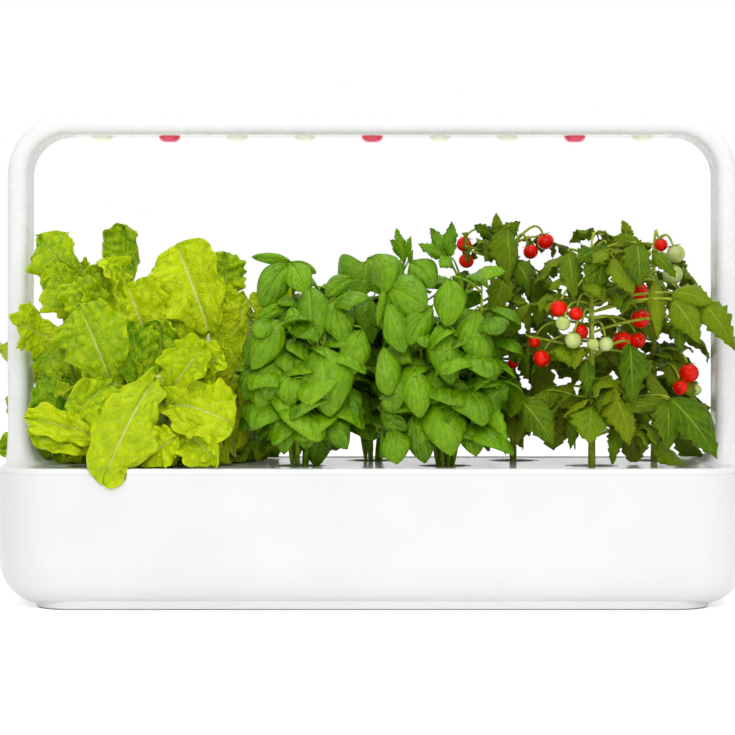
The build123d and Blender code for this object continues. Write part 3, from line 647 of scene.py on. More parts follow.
def tomato_outline(t):
    """Spear-shaped leaflet with a long point."""
    rise, fall = rise_and_fall(t, 0.34)
    return np.clip(np.sin(rise * math.pi / 2) ** 0.6 * np.cos(fall * math.pi / 2) ** 0.95, 0.02, 1)


def sepal_outline(t):
    return np.clip(np.sin(math.pi * (0.15 + 0.85 * t)) ** 0.8, 0.03, 1)


def saw_teeth(t):
    """Forward-pointing teeth: sharp on the side of the tip."""
    return (t * 6) % 1.0


def soft_lobes(t):
    """Soft rounded lobes along the edge."""
    return 0.5 + 0.5 * np.sin(math.tau * 6 * t + 0.7 * np.sin(math.tau * 2.3 * t))


# relief in these forms sets the painted shade in each leaf's quilting and blisters
lettuce_form = dict(rows=38, columns=25, outline=lettuce_outline, cup=0.3, cup_spread=0.8, fold=0.05,
                    waves=2.0, ruffle=6.8 * mm, frill=0.6, blister=2.6 * mm, blister_size=12 * mm,
                    relief=0.32, groove=1.4 * mm, thickness=0.5 * mm, tooth=0.03, teeth=soft_lobes,
                    uneven=0.075)
basil_form = dict(rows=22, columns=15, outline=basil_outline, cup=-1.0, cup_spread=0.3,
                  quilt=2.6 * mm, pairs=3.4, rise=0.8, relief=0.5, groove=2.0 * mm,
                  thickness=0.45 * mm)
tomato_form = dict(rows=25, columns=9, outline=tomato_outline, cup=-0.55, cup_spread=0.35, fold=-0.12,
                   quilt=1.3 * mm, pairs=5, rise=0.4, relief=0.3, groove=0.9 * mm, waves=1.6,
                   ruffle=2.2 * mm, frill=0.35, thickness=0.4 * mm, tooth=0.36, teeth=saw_teeth,
                   uneven=0.04)
sepal_form = dict(rows=9, columns=5, outline=sepal_outline, cup=0.5, thickness=0.35 * mm)


# ---- plants ----
# Leaves with a place of their own: base column and row, tip column and row, depth of base and of
# tip (y, mm), width in pixels, bow towards the front (mm), tone 0 dark to 1 light, and yellowing.
lettuce_places = {
    1: [(124, 296, 124, 226, 22, 26, 44, 4, 0.2, 0.0), (92, 308, 40, 238, -20, -26, 56, 8, 0.3, 0.2),
        (62, 344, 18, 326, -34, -52, 50, 12, 0.6, 0.3), (98, 335, 52, 268, -16, -28, 54, 8, 0.3, 0.2),
        (120, 330, 84, 262, -8, -18, 52, 6, 0.35, 0.4), (110, 330, 112, 268, 4, -4, 46, 6, 0.5, 0.6),
        (60, 444, -1, 450, 44, 52, 30, 4, 0.4, 0.2), (52, 436, 7, 402, 40, 50, 26, 4, 0.3, 0.2),
        (84, 425, 44, 374, -20, -34, 54, 6, 0.0, 0.0), (70, 380, 48, 346, -30, -44, 40, 8, 0.2, 0.1)],
    2: [(210, 334, 176, 245, -24, -32, 80, 8, 0.75, 0.85), (152, 352, 126, 284, -28, -38, 70, 8, 0.8, 0.8),
        (114, 390, 78, 305, -54, -66, 74, 12, 0.15, 0.35), (112, 384, 74, 420, -62, -74, 46, 10, 0.5, 0.3),
        (156, 378, 102, 484, -72, -95, 66, 14, 0.4, 0.55), (118, 444, 24, 418, -66, -80, 34, 8, 0.8, 0.8),
        (112, 452, 30, 436, -60, -72, 32, 6, 0.95, 0.9), (140, 466, 176, 438, -68, -80, 42, 6, 1.0, 1.0),
        (164, 404, 206, 346, -54, -66, 52, 10, 0.6, 0.5), (142, 396, 132, 322, -44, -50, 48, 6, 0.1, 0.0),
        (164, 392, 160, 322, -38, -44, 44, 6, 0.2, 0.1), (108, 342, 74, 280, -32, -40, 50, 8, 0.35, 0.2),
        (176, 404, 196, 352, -46, -54, 44, 8, 0.3, 0.2), (110, 326, 104, 266, -30, -34, 50, 6, 0.4, 0.4),
        (168, 404, 238, 428, -60, -82, 66, 14, 0.8, 0.6), (176, 424, 216, 464, -62, -80, 50, 10, 0.7, 0.5),
        (186, 392, 226, 352, -44, -56, 50, 8, 0.7, 0.7), (132, 424, 96, 396, -50, -60, 40, 8, 0.2, 0.1)],
    3: [(230, 306, 224, 252, 16, 18, 38, 4, 0.3, 0.1), (228, 356, 250, 296, -4, -10, 52, 6, 0.8, 0.8),
        (222, 402, 250, 334, -8, -16, 54, 6, 0.6, 0.5), (196, 410, 262, 436, -14, -22, 60, 8, 0.75, 0.8),
        (204, 346, 216, 280, -2, -6, 54, 6, 0.6, 0.6), (206, 384, 238, 322, -6, -14, 56, 8, 0.7, 0.7),
        (238, 420, 256, 372, -12, -20, 46, 6, 0.4, 0.3), (236, 332, 258, 312, 4, 2, 40, 4, 0.4, 0.3)],
}
basil_places = {
    4: [(291, 262, 252, 257, -38, -44, 9, 2, 0.7, 0.8), (292, 262, 316, 273, -40, -50, 10, 2, 0.5, 0.3),
        (288, 264, 262, 307, -46, -58, 25, 6, 0.3, 0.1), (291, 263, 305, 293, -46, -58, 22, 6, 0.9, 0.9),
        (308, 286, 312, 345, -56, -70, 34, 8, 0.25, 0.3), (290, 305, 258, 320, -50, -62, 13, 4, 0.6, 0.4),
        (292, 307, 293, 335, -60, -68, 17, 4, 0.7, 0.5), (281, 320, 251, 370, -62, -76, 28, 8, 0.5, 0.4),
        (284, 360, 267, 401, -62, -76, 27, 8, 0.5, 0.1), (260, 364, 243, 401, -54, -66, 23, 6, 0.1, 0.0),
        (281, 397, 284, 454, -64, -78, 28, 8, 0.3, 0.0), (303, 405, 306, 449, -66, -80, 28, 8, 0.35, 0.1),
        (325, 409, 347, 449, -60, -74, 30, 8, 0.15, 0.0), (318, 346, 330, 417, -70, -84, 50, 12, 0.55, 0.2),
        (335, 300, 346, 344, -60, -70, 28, 6, 0.35, 0.1), (352, 278, 326, 297, -46, -56, 20, 5, 0.4, 0.2),
        (362, 330, 351, 376, -64, -76, 28, 8, 0.6, 0.2), (262, 330, 246, 366, -50, -60, 26, 6, 0.2, 0.1),
        (340, 385, 352, 424, -56, -66, 26, 6, 0.1, 0.0)],
    5: [(366, 262, 352, 296, -12, -20, 34, 8, 0.4, 0.3), (368, 258, 386, 294, -10, -18, 40, 8, 0.6, 0.4),
        (364, 266, 332, 282, -8, -12, 30, 6, 0.3, 0.3), (376, 268, 402, 290, -6, -12, 30, 6, 0.5, 0.3),
        (372, 300, 372, 344, -14, -20, 34, 8, 0.5, 0.3)],
    6: [(366, 256, 386, 293, -52, -64, 38, 8, 0.55, 0.3), (384, 288, 344, 325, -62, -74, 30, 8, 0.7, 0.3),
        (384, 286, 426, 310, -58, -70, 34, 6, 0.45, 0.3), (388, 303, 404, 353, -66, -76, 27, 6, 0.4, 0.2),
        (432, 306, 409, 345, -62, -72, 25, 6, 0.45, 0.2), (450, 279, 447, 327, -62, -72, 27, 6, 0.65, 0.4),
        (476, 310, 466, 352, -60, -72, 28, 6, 0.5, 0.3), (380, 346, 389, 396, -70, -82, 34, 8, 0.6, 0.2),
        (380, 378, 393, 412, -66, -76, 34, 6, 0.35, 0.1), (414, 370, 420, 418, -70, -82, 30, 8, 0.65, 0.5),
        (438, 325, 452, 385, -66, -78, 30, 8, 0.6, 0.5), (440, 400, 452, 456, -68, -84, 40, 12, 0.7, 0.4),
        (356, 434, 379, 459, -62, -72, 24, 6, 0.3, 0.1), (390, 430, 397, 464, -68, -80, 26, 6, 0.5, 0.1),
        (371, 411, 407, 430, -60, -68, 22, 5, 0.1, 0.0), (414, 414, 425, 463, -62, -72, 25, 6, 0.05, 0.0),
        (467, 422, 476, 456, -60, -70, 22, 5, 0.4, 0.3), (440, 384, 472, 394, -58, -66, 17, 5, 0.6, 0.6),
        (478, 323, 486, 372, -64, -74, 28, 6, 0.4, 0.2), (410, 262, 434, 288, -46, -54, 26, 6, 0.4, 0.2)],
}
tomato_places = {
    7: [(500, 240, 470, 225, 16, 8, 18, 4, 0.1, 0.0), (498, 238, 496, 213, 8, 4, 14, 2, 0.6, 0.3),
        (500, 240, 520, 222, 6, 0, 20, 3, 0.3, 0.1), (500, 244, 484, 262, 2, -6, 24, 4, 0.2, 0.1),
        (508, 228, 506, 284, -4, -14, 44, 8, 0.3, 0.2),
        (440, 244, 414, 232, -8, -14, 16, 2, 0.9, 0.8), (450, 250, 420, 258, -6, -14, 18, 4, 0.2, 0.0),
        (536, 280, 546, 316, -2, -10, 28, 6, 0.2, 0.1), (524, 300, 534, 338, -10, -16, 28, 6, 0.8, 0.7),
        (512, 318, 488, 366, -8, -16, 38, 8, 0.1, 0.0), (520, 352, 548, 392, -8, -16, 36, 8, 0.15, 0.1),
        (510, 372, 498, 420, -10, -18, 36, 8, 0.1, 0.0), (518, 396, 538, 436, -8, -16, 34, 8, 0.5, 0.4),
        (506, 276, 486, 316, -6, -14, 32, 8, 0.3, 0.3), (516, 262, 536, 300, -4, -12, 34, 8, 0.2, 0.1)],
    5: [(404, 262, 396, 228, 4, 0, 15, 3, 0.8, 0.7), (406, 258, 413, 236, 4, 0, 14, 3, 0.7, 0.5),
        (404, 256, 390, 240, 4, 0, 13, 3, 0.5, 0.3), (408, 262, 418, 250, 4, 0, 14, 3, 0.3, 0.2)],
    6: [(508, 382, 471, 426, -52, -66, 36, 8, 0.05, 0.0), (486, 400, 506, 455, -58, -68, 24, 6, 0.95, 0.9),
        (448, 258, 430, 228, -40, -46, 18, 3, 0.15, 0.0), (450, 256, 452, 221, -42, -48, 17, 3, 0.1, 0.0),
        (446, 258, 418, 244, -42, -50, 16, 3, 0.3, 0.2), (452, 258, 440, 268, -46, -54, 20, 4, 0.6, 0.6)],
    8: [(520, 400, 553, 446, -66, -80, 46, 10, 0.2, 0.1), (578, 406, 570, 450, -60, -72, 20, 6, 0.1, 0.0),
        (568, 252, 574, 300, -48, -60, 30, 6, 0.3, 0.2), (606, 244, 596, 298, -50, -64, 36, 8, 0.05, 0.0),
        (637, 244, 640, 288, -66, -78, 36, 8, 0.2, 0.1), (652, 252, 676, 278, -60, -68, 20, 5, 0.3, 0.1),
        (670, 398, 717, 459, -70, -86, 46, 10, 0.15, 0.0), (668, 400, 668, 452, -68, -80, 36, 8, 0.15, 0.1),
        (672, 402, 610, 414, -62, -70, 20, 6, 0.25, 0.2), (630, 344, 632, 407, -60, -74, 36, 8, 0.05, 0.0),
        (586, 360, 587, 398, -62, -70, 20, 5, 0.1, 0.0), (612, 378, 606, 419, -60, -70, 26, 6, 0.6, 0.5),
        (618, 424, 612, 464, -58, -68, 20, 5, 0.2, 0.1), (644, 428, 643, 453, -56, -64, 18, 4, 0.2, 0.1),
        (672, 300, 700, 344, -70, -84, 40, 10, 0.6, 0.3), (700, 300, 734, 350, -72, -86, 34, 10, 0.5, 0.3),
        (672, 292, 716, 306, -66, -78, 30, 8, 0.7, 0.4), (678, 318, 680, 354, -62, -70, 22, 5, 0.1, 0.0),
        (656, 282, 658, 338, -54, -64, 24, 6, 0.7, 0.6), (500, 336, 504, 370, -50, -58, 20, 5, 0.1, 0.0),
        (546, 392, 534, 430, -54, -64, 24, 6, 0.3, 0.2), (640, 246, 612, 238, -56, -60, 18, 4, 0.4, 0.2),
        (630, 242, 622, 220, -54, -58, 14, 2, 0.5, 0.4), (596, 250, 578, 262, -56, -64, 30, 5, 0.1, 0.0),
        (600, 262, 588, 292, -58, -66, 30, 6, 0.15, 0.1)],
}


def placed_leaves(foliage, places, form, rng, root_of, stalk, fuller=1.0):
    """Leaves at their own places, each on a stalk from the plant's stem or crown."""
    for column, row, tip_column, tip_row, depth, tip_depth, width, bow, light, yellow in places:
        base, tip = seen_at(column, row, depth), seen_at(tip_column, tip_row, tip_depth)
        ahead = np.array([0, -bow * mm, bow * 0.5 * mm])
        spine = [base, base + (tip - base) * 0.33 + ahead, base + (tip - base) * 0.7 + ahead, tip]
        face = np.array([rng.uniform(-0.35, 0.35), -1.0, rng.uniform(0.0, 0.4)])
        pixel = (eye_distance + depth * mm) / focal_pixels
        leaf(foliage, spine, face, width * fuller * pixel, form, (light, yellow), rng)
        root = root_of(base)
        back = base - (spine[1] - base) * 0.5
        stem(foliage, [root, root * 0.6 + back * 0.4 + upwards(6 * mm), back, base],
             stalk * 1.25, stalk * 0.8, rng, rows=8)


def free_leaf(foliage, root, turn, climb, droop, length, width, form, tone, rng, roll):
    """Leaf that leaves its root at a climb angle and bends down by droop degrees towards its tip."""
    first, last = direction(turn, climb), direction(turn, climb - droop)
    knee = root + first * length * 0.33
    bend = knee + unit(first + last) * length * 0.34
    upper = direction(turn, climb - droop / 2 + 90)
    face = upper * math.cos(roll) + direction(turn + 90, 0) * math.sin(roll)
    leaf(foliage, [root, knee, bend, bend + last * length * 0.33], face, width, form, tone, rng)


def make_lettuce(number):
    """Head of lettuce: leaves at their own places in front, rings of leaves behind and between them."""
    rng = random.Random(100 + number)
    foliage = Foliage(number)
    crown = pod_places[number]

    def crown_root(base):
        out = unit(np.array([base[0] - crown[0], base[1] - crown[1], 0]))
        return crown + out * 5 * mm + upwards(4 * mm)

    placed_leaves(foliage, lettuce_places[number], lettuce_form, rng, crown_root, 2.6 * mm)
    # leaves in a ring, their climb and droop in degrees, and stalk, blade and width in mm
    rings = [(6, 10, 50, 6, 62, 52), (6, 30, 50, 14, 78, 58), (6, 48, 44, 28, 92, 62),
             (6, 62, 34, 42, 104, 62), (5, 74, 24, 56, 110, 58), (3, 86, 10, 66, 104, 48)]
    for step, (count, climb, droop, stalk_length, length, width) in enumerate(rings):
        for item in range(count):
            turn = 360 / count * item + step * 37 + number * 53 + rng.uniform(-16, 16)
            size = rng.uniform(0.86, 1.12)
            out = direction(turn, 0)
            in_front = -out[1] > 0.25
            if in_front and step > 1:
                continue
            if in_front:
                size *= 0.7
            size *= 1 - 0.32 * max(out[1] * np.sign(crown[1]), 0)
            root = crown + upwards(3 * mm) + out * 5 * mm
            blade_climb = climb + rng.uniform(-8, 8)
            reach = stalk_length * size * rng.uniform(0.7, 1.0) * mm
            blade_root = root + direction(turn, blade_climb) * reach
            stem(foliage, straight(root, blade_root, 0.33), 2.8 * mm, 2.2 * mm, rng)
            free_leaf(foliage, blade_root, turn, blade_climb, droop * rng.uniform(0.5, 1.5),
                      length * size * mm, width * size * mm, lettuce_form,
                      (rng.random() * 0.6 + 0.1 * step, rng.random() * 0.4), rng, rng.uniform(-0.5, 0.5))
    return foliage.build(f"lettuce_plant_{number}", [lettuce_leaf, lettuce_stem])


def nearest_on(paths, drop):
    """Chooser of the stem point that a leaf's stalk starts from: a little lower than the leaf."""
    share = np.linspace(0.15, 1, 30)
    points = np.concatenate([along_curve(path, share)[0] for path in paths])

    def root_of(base):
        return points[np.linalg.norm(points - (base - upwards(drop)), axis=1).argmin()]

    return root_of


def make_basil(number):
    """Basil: leaning shoots with pairs of leaves, each pair turned from the one below."""
    rng = random.Random(200 + number)
    foliage = Foliage(number)
    crown = pod_places[number]
    shoots, pair_pitch = 7, 18
    paths = []
    for shoot in range(shoots):
        lean = direction(360 / shoots * shoot + number * 40, 0)
        foot = crown + lean * 6 * mm
        reach = rng.uniform(18, 34) if shoot else 4
        height = rng.uniform(108, 158)
        up = upwards(height * mm)
        top = crown + lean * reach * mm + up
        path = [foot, foot + up * 0.4 + lean * reach * 0.3 * mm, top - up * 0.3, top]
        paths.append(path)
        stem(foliage, path, 2.0 * mm, 1.1 * mm, rng, sides=8, rows=14)
        levels = int(height // pair_pitch)
        for level in range(1, levels + 1):
            share = 0.12 + 0.88 * level / levels
            place = along_curve(path, np.array([share]))[0][0]
            size = 1.1 - 0.4 * share ** 3
            for half in (0, 180):
                turn = level * 90 + half + shoot * 50 + rng.uniform(-25, 25)
                climb = rng.uniform(-20, 50) + 20 * (share > 0.95) + 30 * (share < 0.4)
                base = place + direction(turn, climb) * rng.uniform(6, 14) * mm
                stem(foliage, straight(place, base), 0.9 * mm, 0.8 * mm, rng, rows=5)
                length = rng.uniform(44, 60) * size
                free_leaf(foliage, base, turn, climb, rng.uniform(70, 120), length * mm,
                          length * rng.uniform(0.8, 0.95) * mm, basil_form,
                          (rng.random(), rng.random() * 0.5), rng, rng.uniform(-0.5, 0.5))
    stalks = nearest_on(paths, 4 * mm)
    placed_leaves(foliage, basil_places[number], basil_form, rng, stalks, 0.9 * mm, fuller=1.45)
    placed_leaves(foliage, tomato_places.get(number, []), tomato_form, rng, stalks, 0.9 * mm)
    return foliage.build(f"basil_plant_{number}", [basil_leaf, basil_stem])


def fruit_centres(node):
    """Middle and radius of each ball of fruit in a CAD node, found from its separate solids."""
    mesh = nodes[node].data
    co = np.zeros(len(mesh.vertices) * 3)
    mesh.vertices.foreach_get("co", co)
    rounded = np.unique(np.round(co.reshape(-1, 3), 6), axis=0)
    found = []
    left = np.ones(len(rounded), bool)
    while left.any():
        top = rounded[left][rounded[left][:, 2].argmax()]
        group = left & (np.linalg.norm(rounded - top, axis=1) < 3 * mm)
        ring = rounded[group]
        system = np.concatenate([2 * ring, np.ones((len(ring), 1))], 1)
        answer = np.linalg.lstsq(system, (ring ** 2).sum(1), rcond=None)[0]
        middle = answer[:3]
        radius = math.sqrt(answer[3] + middle @ middle)
        left &= np.linalg.norm(rounded - middle, axis=1) > radius * 1.02
        left[group] = False
        found.append((middle, radius))
    return found


fruit_kinds = {"tomato": ripe_skin, "green": unripe_skin}
fruits = {number: [ball for kind in fruit_kinds if f"{kind}_fruit_{number}" in nodes
                   for ball in fruit_centres(f"{kind}_fruit_{number}")] for number in tomato_pods}


def tomato_path(number):
    """Main stem of a tomato plant, nearly straight up."""
    rng = random.Random(500 + number)
    crown = pod_places[number]
    lean = np.array([rng.uniform(-4, 4), rng.uniform(-3, 3), 0]) * mm
    return [crown - upwards(2 * mm), crown + upwards(60 * mm) + lean, crown + upwards(120 * mm) - lean,
            crown + upwards(190 * mm)]


def hides_fruit(number, place):
    """Whether a leaflet with its middle at a place would hang in front of one of the plant's fruits."""
    for middle, radius in fruits[number]:
        near = abs(place[0] - middle[0]) < radius + 8 * mm and abs(place[2] - middle[2]) < radius + 10 * mm
        if near and place[1] < middle[1]:
            return True
    return False


def compound_leaf(foliage, root, turn, climb, length, rng, size):
    """Tomato leaf: a drooping stalk with pairs of toothed leaflets and one at its end."""
    first, last = direction(turn, climb), direction(turn, climb - 70)
    knee = root + first * length * 0.6
    path = [root, root + first * length * 0.35, knee + last * length * 0.15, knee + last * length * 0.5]
    stem(foliage, path, 1.3 * mm, 0.7 * mm, rng)
    tone = rng.random()
    for share, scale in ((0.34, 0.62), (0.62, 0.9), (0.84, 0.8)):
        place = along_curve(path, np.array([share]))[0][0]
        for hand in (-1, 1):
            aside = turn + hand * rng.uniform(50, 78)
            base = place + direction(aside, climb) * 3 * mm
            if hides_fruit(foliage.number, base + direction(aside, -30) * 15 * mm):
                continue
            stem(foliage, straight(place, base), 0.6 * mm, 0.5 * mm, rng, rows=4)
            free_leaf(foliage, base, aside, rng.uniform(-25, 20), rng.uniform(40, 90),
                      38 * scale * size * mm, 27 * scale * size * mm, tomato_form,
                      (tone * 0.6 + rng.random() * 0.4, rng.random() * 0.5), rng, rng.uniform(-0.6, 0.6))
    if not hides_fruit(foliage.number, path[-1] + direction(turn, climb - 65) * 20 * mm):
        free_leaf(foliage, path[-1], turn, climb - 55, rng.uniform(20, 45), 50 * size * mm,
                  36 * size * mm, tomato_form, (tone * 0.6 + rng.random() * 0.4, rng.random() * 0.5),
                  rng, rng.uniform(-0.4, 0.4))


def make_tomato(number):
    """Cherry tomato plant: compound leaves that wind up its stem, and leaflets at their own places."""
    rng = random.Random(300 + number)
    foliage = Foliage(number)
    path = tomato_path(number)
    stem(foliage, path, 3.2 * mm, 1.6 * mm, rng, sides=10, rows=24)
    turn = number * 70
    levels, golden_angle = 20, 137.5
    for level in range(levels):
        share = 0.2 + 0.8 * level / (levels - 1)
        turn += golden_angle
        place = along_curve(path, np.array([share]))[0][0]
        heading = turn + rng.uniform(-12, 12)
        out = direction(heading, 0)
        room = 1 - 0.3 * max(out[1] * np.sign(pod_places[number][1]), 0)
        if number == tomato_pods[-1]:
            room *= 1 - 0.4 * max(out[0], 0)
        climb = rng.uniform(10, 50)
        length = rng.uniform(46, 64) * mm * (1.05 - 0.3 * share) * room
        compound_leaf(foliage, place, heading, climb, length, rng, 1.15 - 0.35 * share)
    placed_leaves(foliage, tomato_places.get(number, []), tomato_form, rng, nearest_on([path], 12 * mm),
                  1.1 * mm)
    return foliage.build(f"tomato_plant_{number}", [tomato_leaf, tomato_stem])


# ---- fruit ----
def ring_axes(up):
    """Two directions square to a fruit's upward direction and to each other."""
    side = unit(np.cross(up, [0.3, 0.2, 0.9] if abs(up[2]) < 0.8 else [0.9, 0.1, 0.2]))
    return side, np.cross(up, side)


def add_fruit(foliage, middle, radius, up, rng):
    """Round fruit with a shallow dimple and faint lobes at its stalk end."""
    rows, sides = 15, 24
    tilt = np.linspace(0, math.pi, rows + 2)[1:-1]
    turn = np.linspace(0, math.tau, sides, endpoint=False)
    side, other = ring_axes(up)
    bulges = 1 + 0.02 * np.cos(5 * turn)[None, :] * np.exp(-((tilt - 0.7) / 0.6) ** 2)[:, None]
    wide = (np.sin(tilt)[:, None] * bulges) * radius
    high = (np.cos(tilt) * 0.95 - 0.14 * np.exp(-(tilt / 0.3) ** 2)) * radius
    ring = np.cos(turn)[None, :, None] * side + np.sin(turn)[None, :, None] * other
    grid = middle + ring * wide[:, :, None] + up * high[:, None, None]
    poles = np.stack([middle + up * 0.81 * radius, middle - up * 0.95 * radius])
    points = np.concatenate([grid.reshape(-1, 3), poles])
    index = np.arange(rows * sides).reshape(rows, sides)
    following = np.roll(index, -1, 1)
    walls = np.stack([index[:-1].ravel(), index[1:].ravel(), following[1:].ravel(),
                      following[:-1].ravel()], 1)
    top, low = np.full(sides // 2, rows * sides), np.full(sides // 2, rows * sides + 1)
    top_cap = np.stack([following[0, 1::2], top, index[0, ::2], following[0, ::2]], 1)
    low_cap = np.stack([index[-1, ::2], low, following[-1, 1::2], following[-1, ::2]], 1)
    leaf_map = np.stack([np.tile(turn / math.tau, rows), np.repeat(tilt / math.pi, sides)], 1)
    leaf_map = np.concatenate([leaf_map, [[0.5, 0], [0.5, 1]]])
    tones = np.tile([rng.random(), 0, 0, 1], (len(points), 1))
    foliage.add(points, np.concatenate([walls, top_cap, low_cap]), leaf_map, leaf_map * 0.03, tones, 0)


def add_calyx(foliage, top, radius, up, rng):
    """Green star of pointed sepals on top of a fruit."""
    side, other = ring_axes(up)
    start = rng.uniform(0, math.tau)
    sepals = 5
    for sepal in range(sepals):
        turn = start + math.tau / sepals * sepal
        out = side * math.cos(turn) + other * math.sin(turn)
        spine = [top, top + out * radius * 0.3 + up * radius * 0.08, top + out * radius * 0.62,
                 top + out * radius * 0.9 + up * radius * rng.uniform(-0.15, 0.3)]
        leaf(foliage, spine, up, radius * 0.26, sepal_form, (0.5, 0.2), rng, finish=1)


def make_fruit(number, node, skin, title):
    """Fruits of one plant, each with its calyx and a stalk back to the main stem."""
    rng = random.Random(400 + number)
    foliage = Foliage(number)
    axis = pod_places[number]
    for middle, radius in fruit_centres(node):
        inward = np.array([axis[0] - middle[0], axis[1] - middle[1], 0])
        up = unit(unit(inward) * 0.35 + upwards(1.0))
        top = middle + up * radius * 0.84
        add_fruit(foliage, middle, radius, up, rng)
        add_calyx(foliage, top, radius, up, rng)
        root = nearest_on([tomato_path(number)], -10 * mm)(top)
        stem(foliage, [top, top + up * 12 * mm, root * 0.4 + top * 0.6 + upwards(14 * mm), root],
             0.9 * mm, 1.3 * mm, rng, finish=2, rows=12)
    return foliage.build(f"{title}_{number}", [skin, tomato_leaf, tomato_stem])


# ---- crumbs of growing medium ----
def make_crumb_tree(material):
    """Scatters small uneven crumbs over a face, a whole mesh in one material at the end."""
    tree = bpy.data.node_groups.new("medium_crumbs", "GeometryNodeTree")
    for name, kind in (("Geometry", "Geometry"), ("Crumbs per Area", "Float"), ("Crumb Size", "Float"),
                       ("Seed", "Int")):
        tree.interface.new_socket(name=name, in_out="INPUT", socket_type=f"NodeSocket{kind}")
    tree.interface.new_socket(name="Geometry", in_out="OUTPUT", socket_type="NodeSocketGeometry")
    given = tree.nodes.new("NodeGroupInput").outputs
    spots = add_node(tree, "GeometryNodeDistributePointsOnFaces",
                     {"Mesh": given["Geometry"], "Density": given["Crumbs per Area"],
                      "Seed": given["Seed"]})
    crumb = add_node(tree, "GeometryNodeMeshIcoSphere", {"Radius": given["Crumb Size"], "Subdivisions": 1})
    size = add_node(tree, "FunctionNodeRandomValue",
                    {"Min": (0.5, 0.5, 0.3), "Max": (1.5, 1.2, 0.9), "Seed": 5}, data_type="FLOAT_VECTOR")
    turn = add_node(tree, "FunctionNodeRandomValue", {"Max": (math.tau, math.tau, math.tau), "Seed": 9},
                    data_type="FLOAT_VECTOR")
    placed = add_node(tree, "GeometryNodeInstanceOnPoints",
                      {"Points": spots.outputs[0], "Instance": crumb.outputs[0],
                       "Rotation": turn.outputs[0], "Scale": size.outputs[0]})
    real = add_node(tree, "GeometryNodeRealizeInstances", {0: placed.outputs[0]})
    dressed = add_node(tree, "GeometryNodeSetMaterial", {"Geometry": real.outputs[0], "Material": material})
    wire(tree, tree.nodes.new("NodeGroupOutput"), {0: dressed.outputs[0]})
    return tree


def make_crumbs(number, tree):
    """Loose crumbs on top of a pod's growing medium, as a plain mesh."""
    middle = pod_places[number]
    corners, radius = 24, 16 * mm
    turns = np.linspace(0, math.tau, corners, endpoint=False)
    mesh = bpy.data.meshes.new("medium_top")
    mesh.from_pydata([(middle[0] + radius * math.cos(a), middle[1] + radius * math.sin(a), middle[2])
                      for a in turns], [], [tuple(range(corners))])
    crumbs = show(f"medium_crumbs_{number}", mesh)
    modifier = crumbs.modifiers.new("nodes", "NODES")
    modifier.node_group = tree
    sockets = {item.name: item.identifier for item in tree.interface.items_tree if item.in_out == "INPUT"}
    for name, value in (("Crumbs per Area", 120000.0), ("Crumb Size", 0.9 * mm), ("Seed", number)):
        modifier[sockets[name]] = value
    bpy.context.view_layer.update()
    made = bpy.data.meshes.new_from_object(crumbs.evaluated_get(bpy.context.evaluated_depsgraph_get()))
    crumbs.modifiers.clear()
    crumbs.data = made
    return crumbs


# ---- dressing the CAD nodes ----
body_plastic = moulded_plastic("body_plastic", (247, 247, 248), (243, 243, 245), 0.34)
arm_plastic = moulded_plastic("arm_plastic", (249, 249, 250), (246, 246, 247), 0.28, fine_peel)
# The cover's faint white emission is painted light that brightens its shaded underside; the cover itself is
# no lamp.
cover_plastic_painted_glow = moulded_plastic("cover_plastic_painted_glow", (246, 246, 247), (242, 242, 244), 0.26, fine_peel,
                                Emission_Strength=0.16, Emission_Color=white)
# Mid-grey foot pad: partly its own rubber colour, partly a painted contact shadow along the bottom line of
# the base.
foot_rubber = moulded_plastic("foot_rubber", (176, 176, 178), (160, 160, 162), 0.7)
inlet_plastic = moulded_plastic("inlet_plastic", (36, 36, 38), (26, 26, 28), 0.35)
lead_jacket = moulded_plastic("lead_jacket", (44, 44, 46), (30, 30, 32), 0.5)
cup_plastic = moulded_plastic("cup_plastic", (238, 238, 236), (228, 229, 226), 0.4)
indicator_plastic = moulded_plastic("indicator_plastic", (240, 240, 242), (230, 230, 234), 0.2)
board_coat = moulded_plastic("board_coat", (242, 242, 238), (232, 232, 228), 0.45)
chip_white = moulded_plastic("chip_white", (250, 240, 190), (244, 226, 150), 0.3,
                             Emission_Strength=1.0, Emission_Color=srgb(255, 250, 230))
chip_red = moulded_plastic("chip_red", (220, 40, 60), (200, 30, 50), 0.3,
                           Emission_Strength=1.0, Emission_Color=srgb(255, 70, 90))
lens_clear = make_lens_material("lens_clear", (246, 248, 232), (224, 228, 206), (190, 194, 176), 0.5,
                                (250, 250, 236))
lens_red = make_lens_material("lens_red", (255, 206, 214), (222, 62, 96), (196, 20, 56), 0.35,
                              (250, 110, 140))
screw_steel = make_metal("screw_steel", (0.66, 0.66, 0.67, 1), (0.52, 0.52, 0.54, 1), 0.3)
contact_brass = make_metal("contact_brass", (0.83, 0.66, 0.34, 1), (0.72, 0.54, 0.24, 1), 0.24)
growing_medium = make_growing_medium()

dress = [
    (body_plastic, ["tank_shell", "control_housing", "control_cover", "button_cap"]),
    (make_lid_plastic(), ["lid_deck"]), (foot_rubber, ["foot_pad"]),
    (arm_plastic, ["left_extension_arm", "right_extension_arm", "arch_shell"]),
    (cover_plastic_painted_glow, ["arch_cover"]), (inlet_plastic, ["power_inlet", "push_switch"]),
    (lead_jacket, ["lamp_lead", "extension_lead", "arch_lead"]),
    (make_circuit_board(), ["control_board"]), (board_coat, ["led_board"]),
    (screw_steel, ["control_screws", "arch_screws"]),
    (contact_brass, ["lid_contacts", "extension_contacts", "arch_contacts"]),
    (make_float_foam(), ["float_body"]), (indicator_plastic, ["float_indicator"]),
    (chip_white, ["led_chips_white"]), (chip_red, ["led_chips_red"]),
    (lens_clear, ["lenses_clear"]), (lens_red, ["lenses_red"]),
    (cup_plastic, [f"pod_cup_{pod}" for pod in pod_places]),
    (growing_medium, [f"grow_plug_{pod}" for pod in pod_places])]
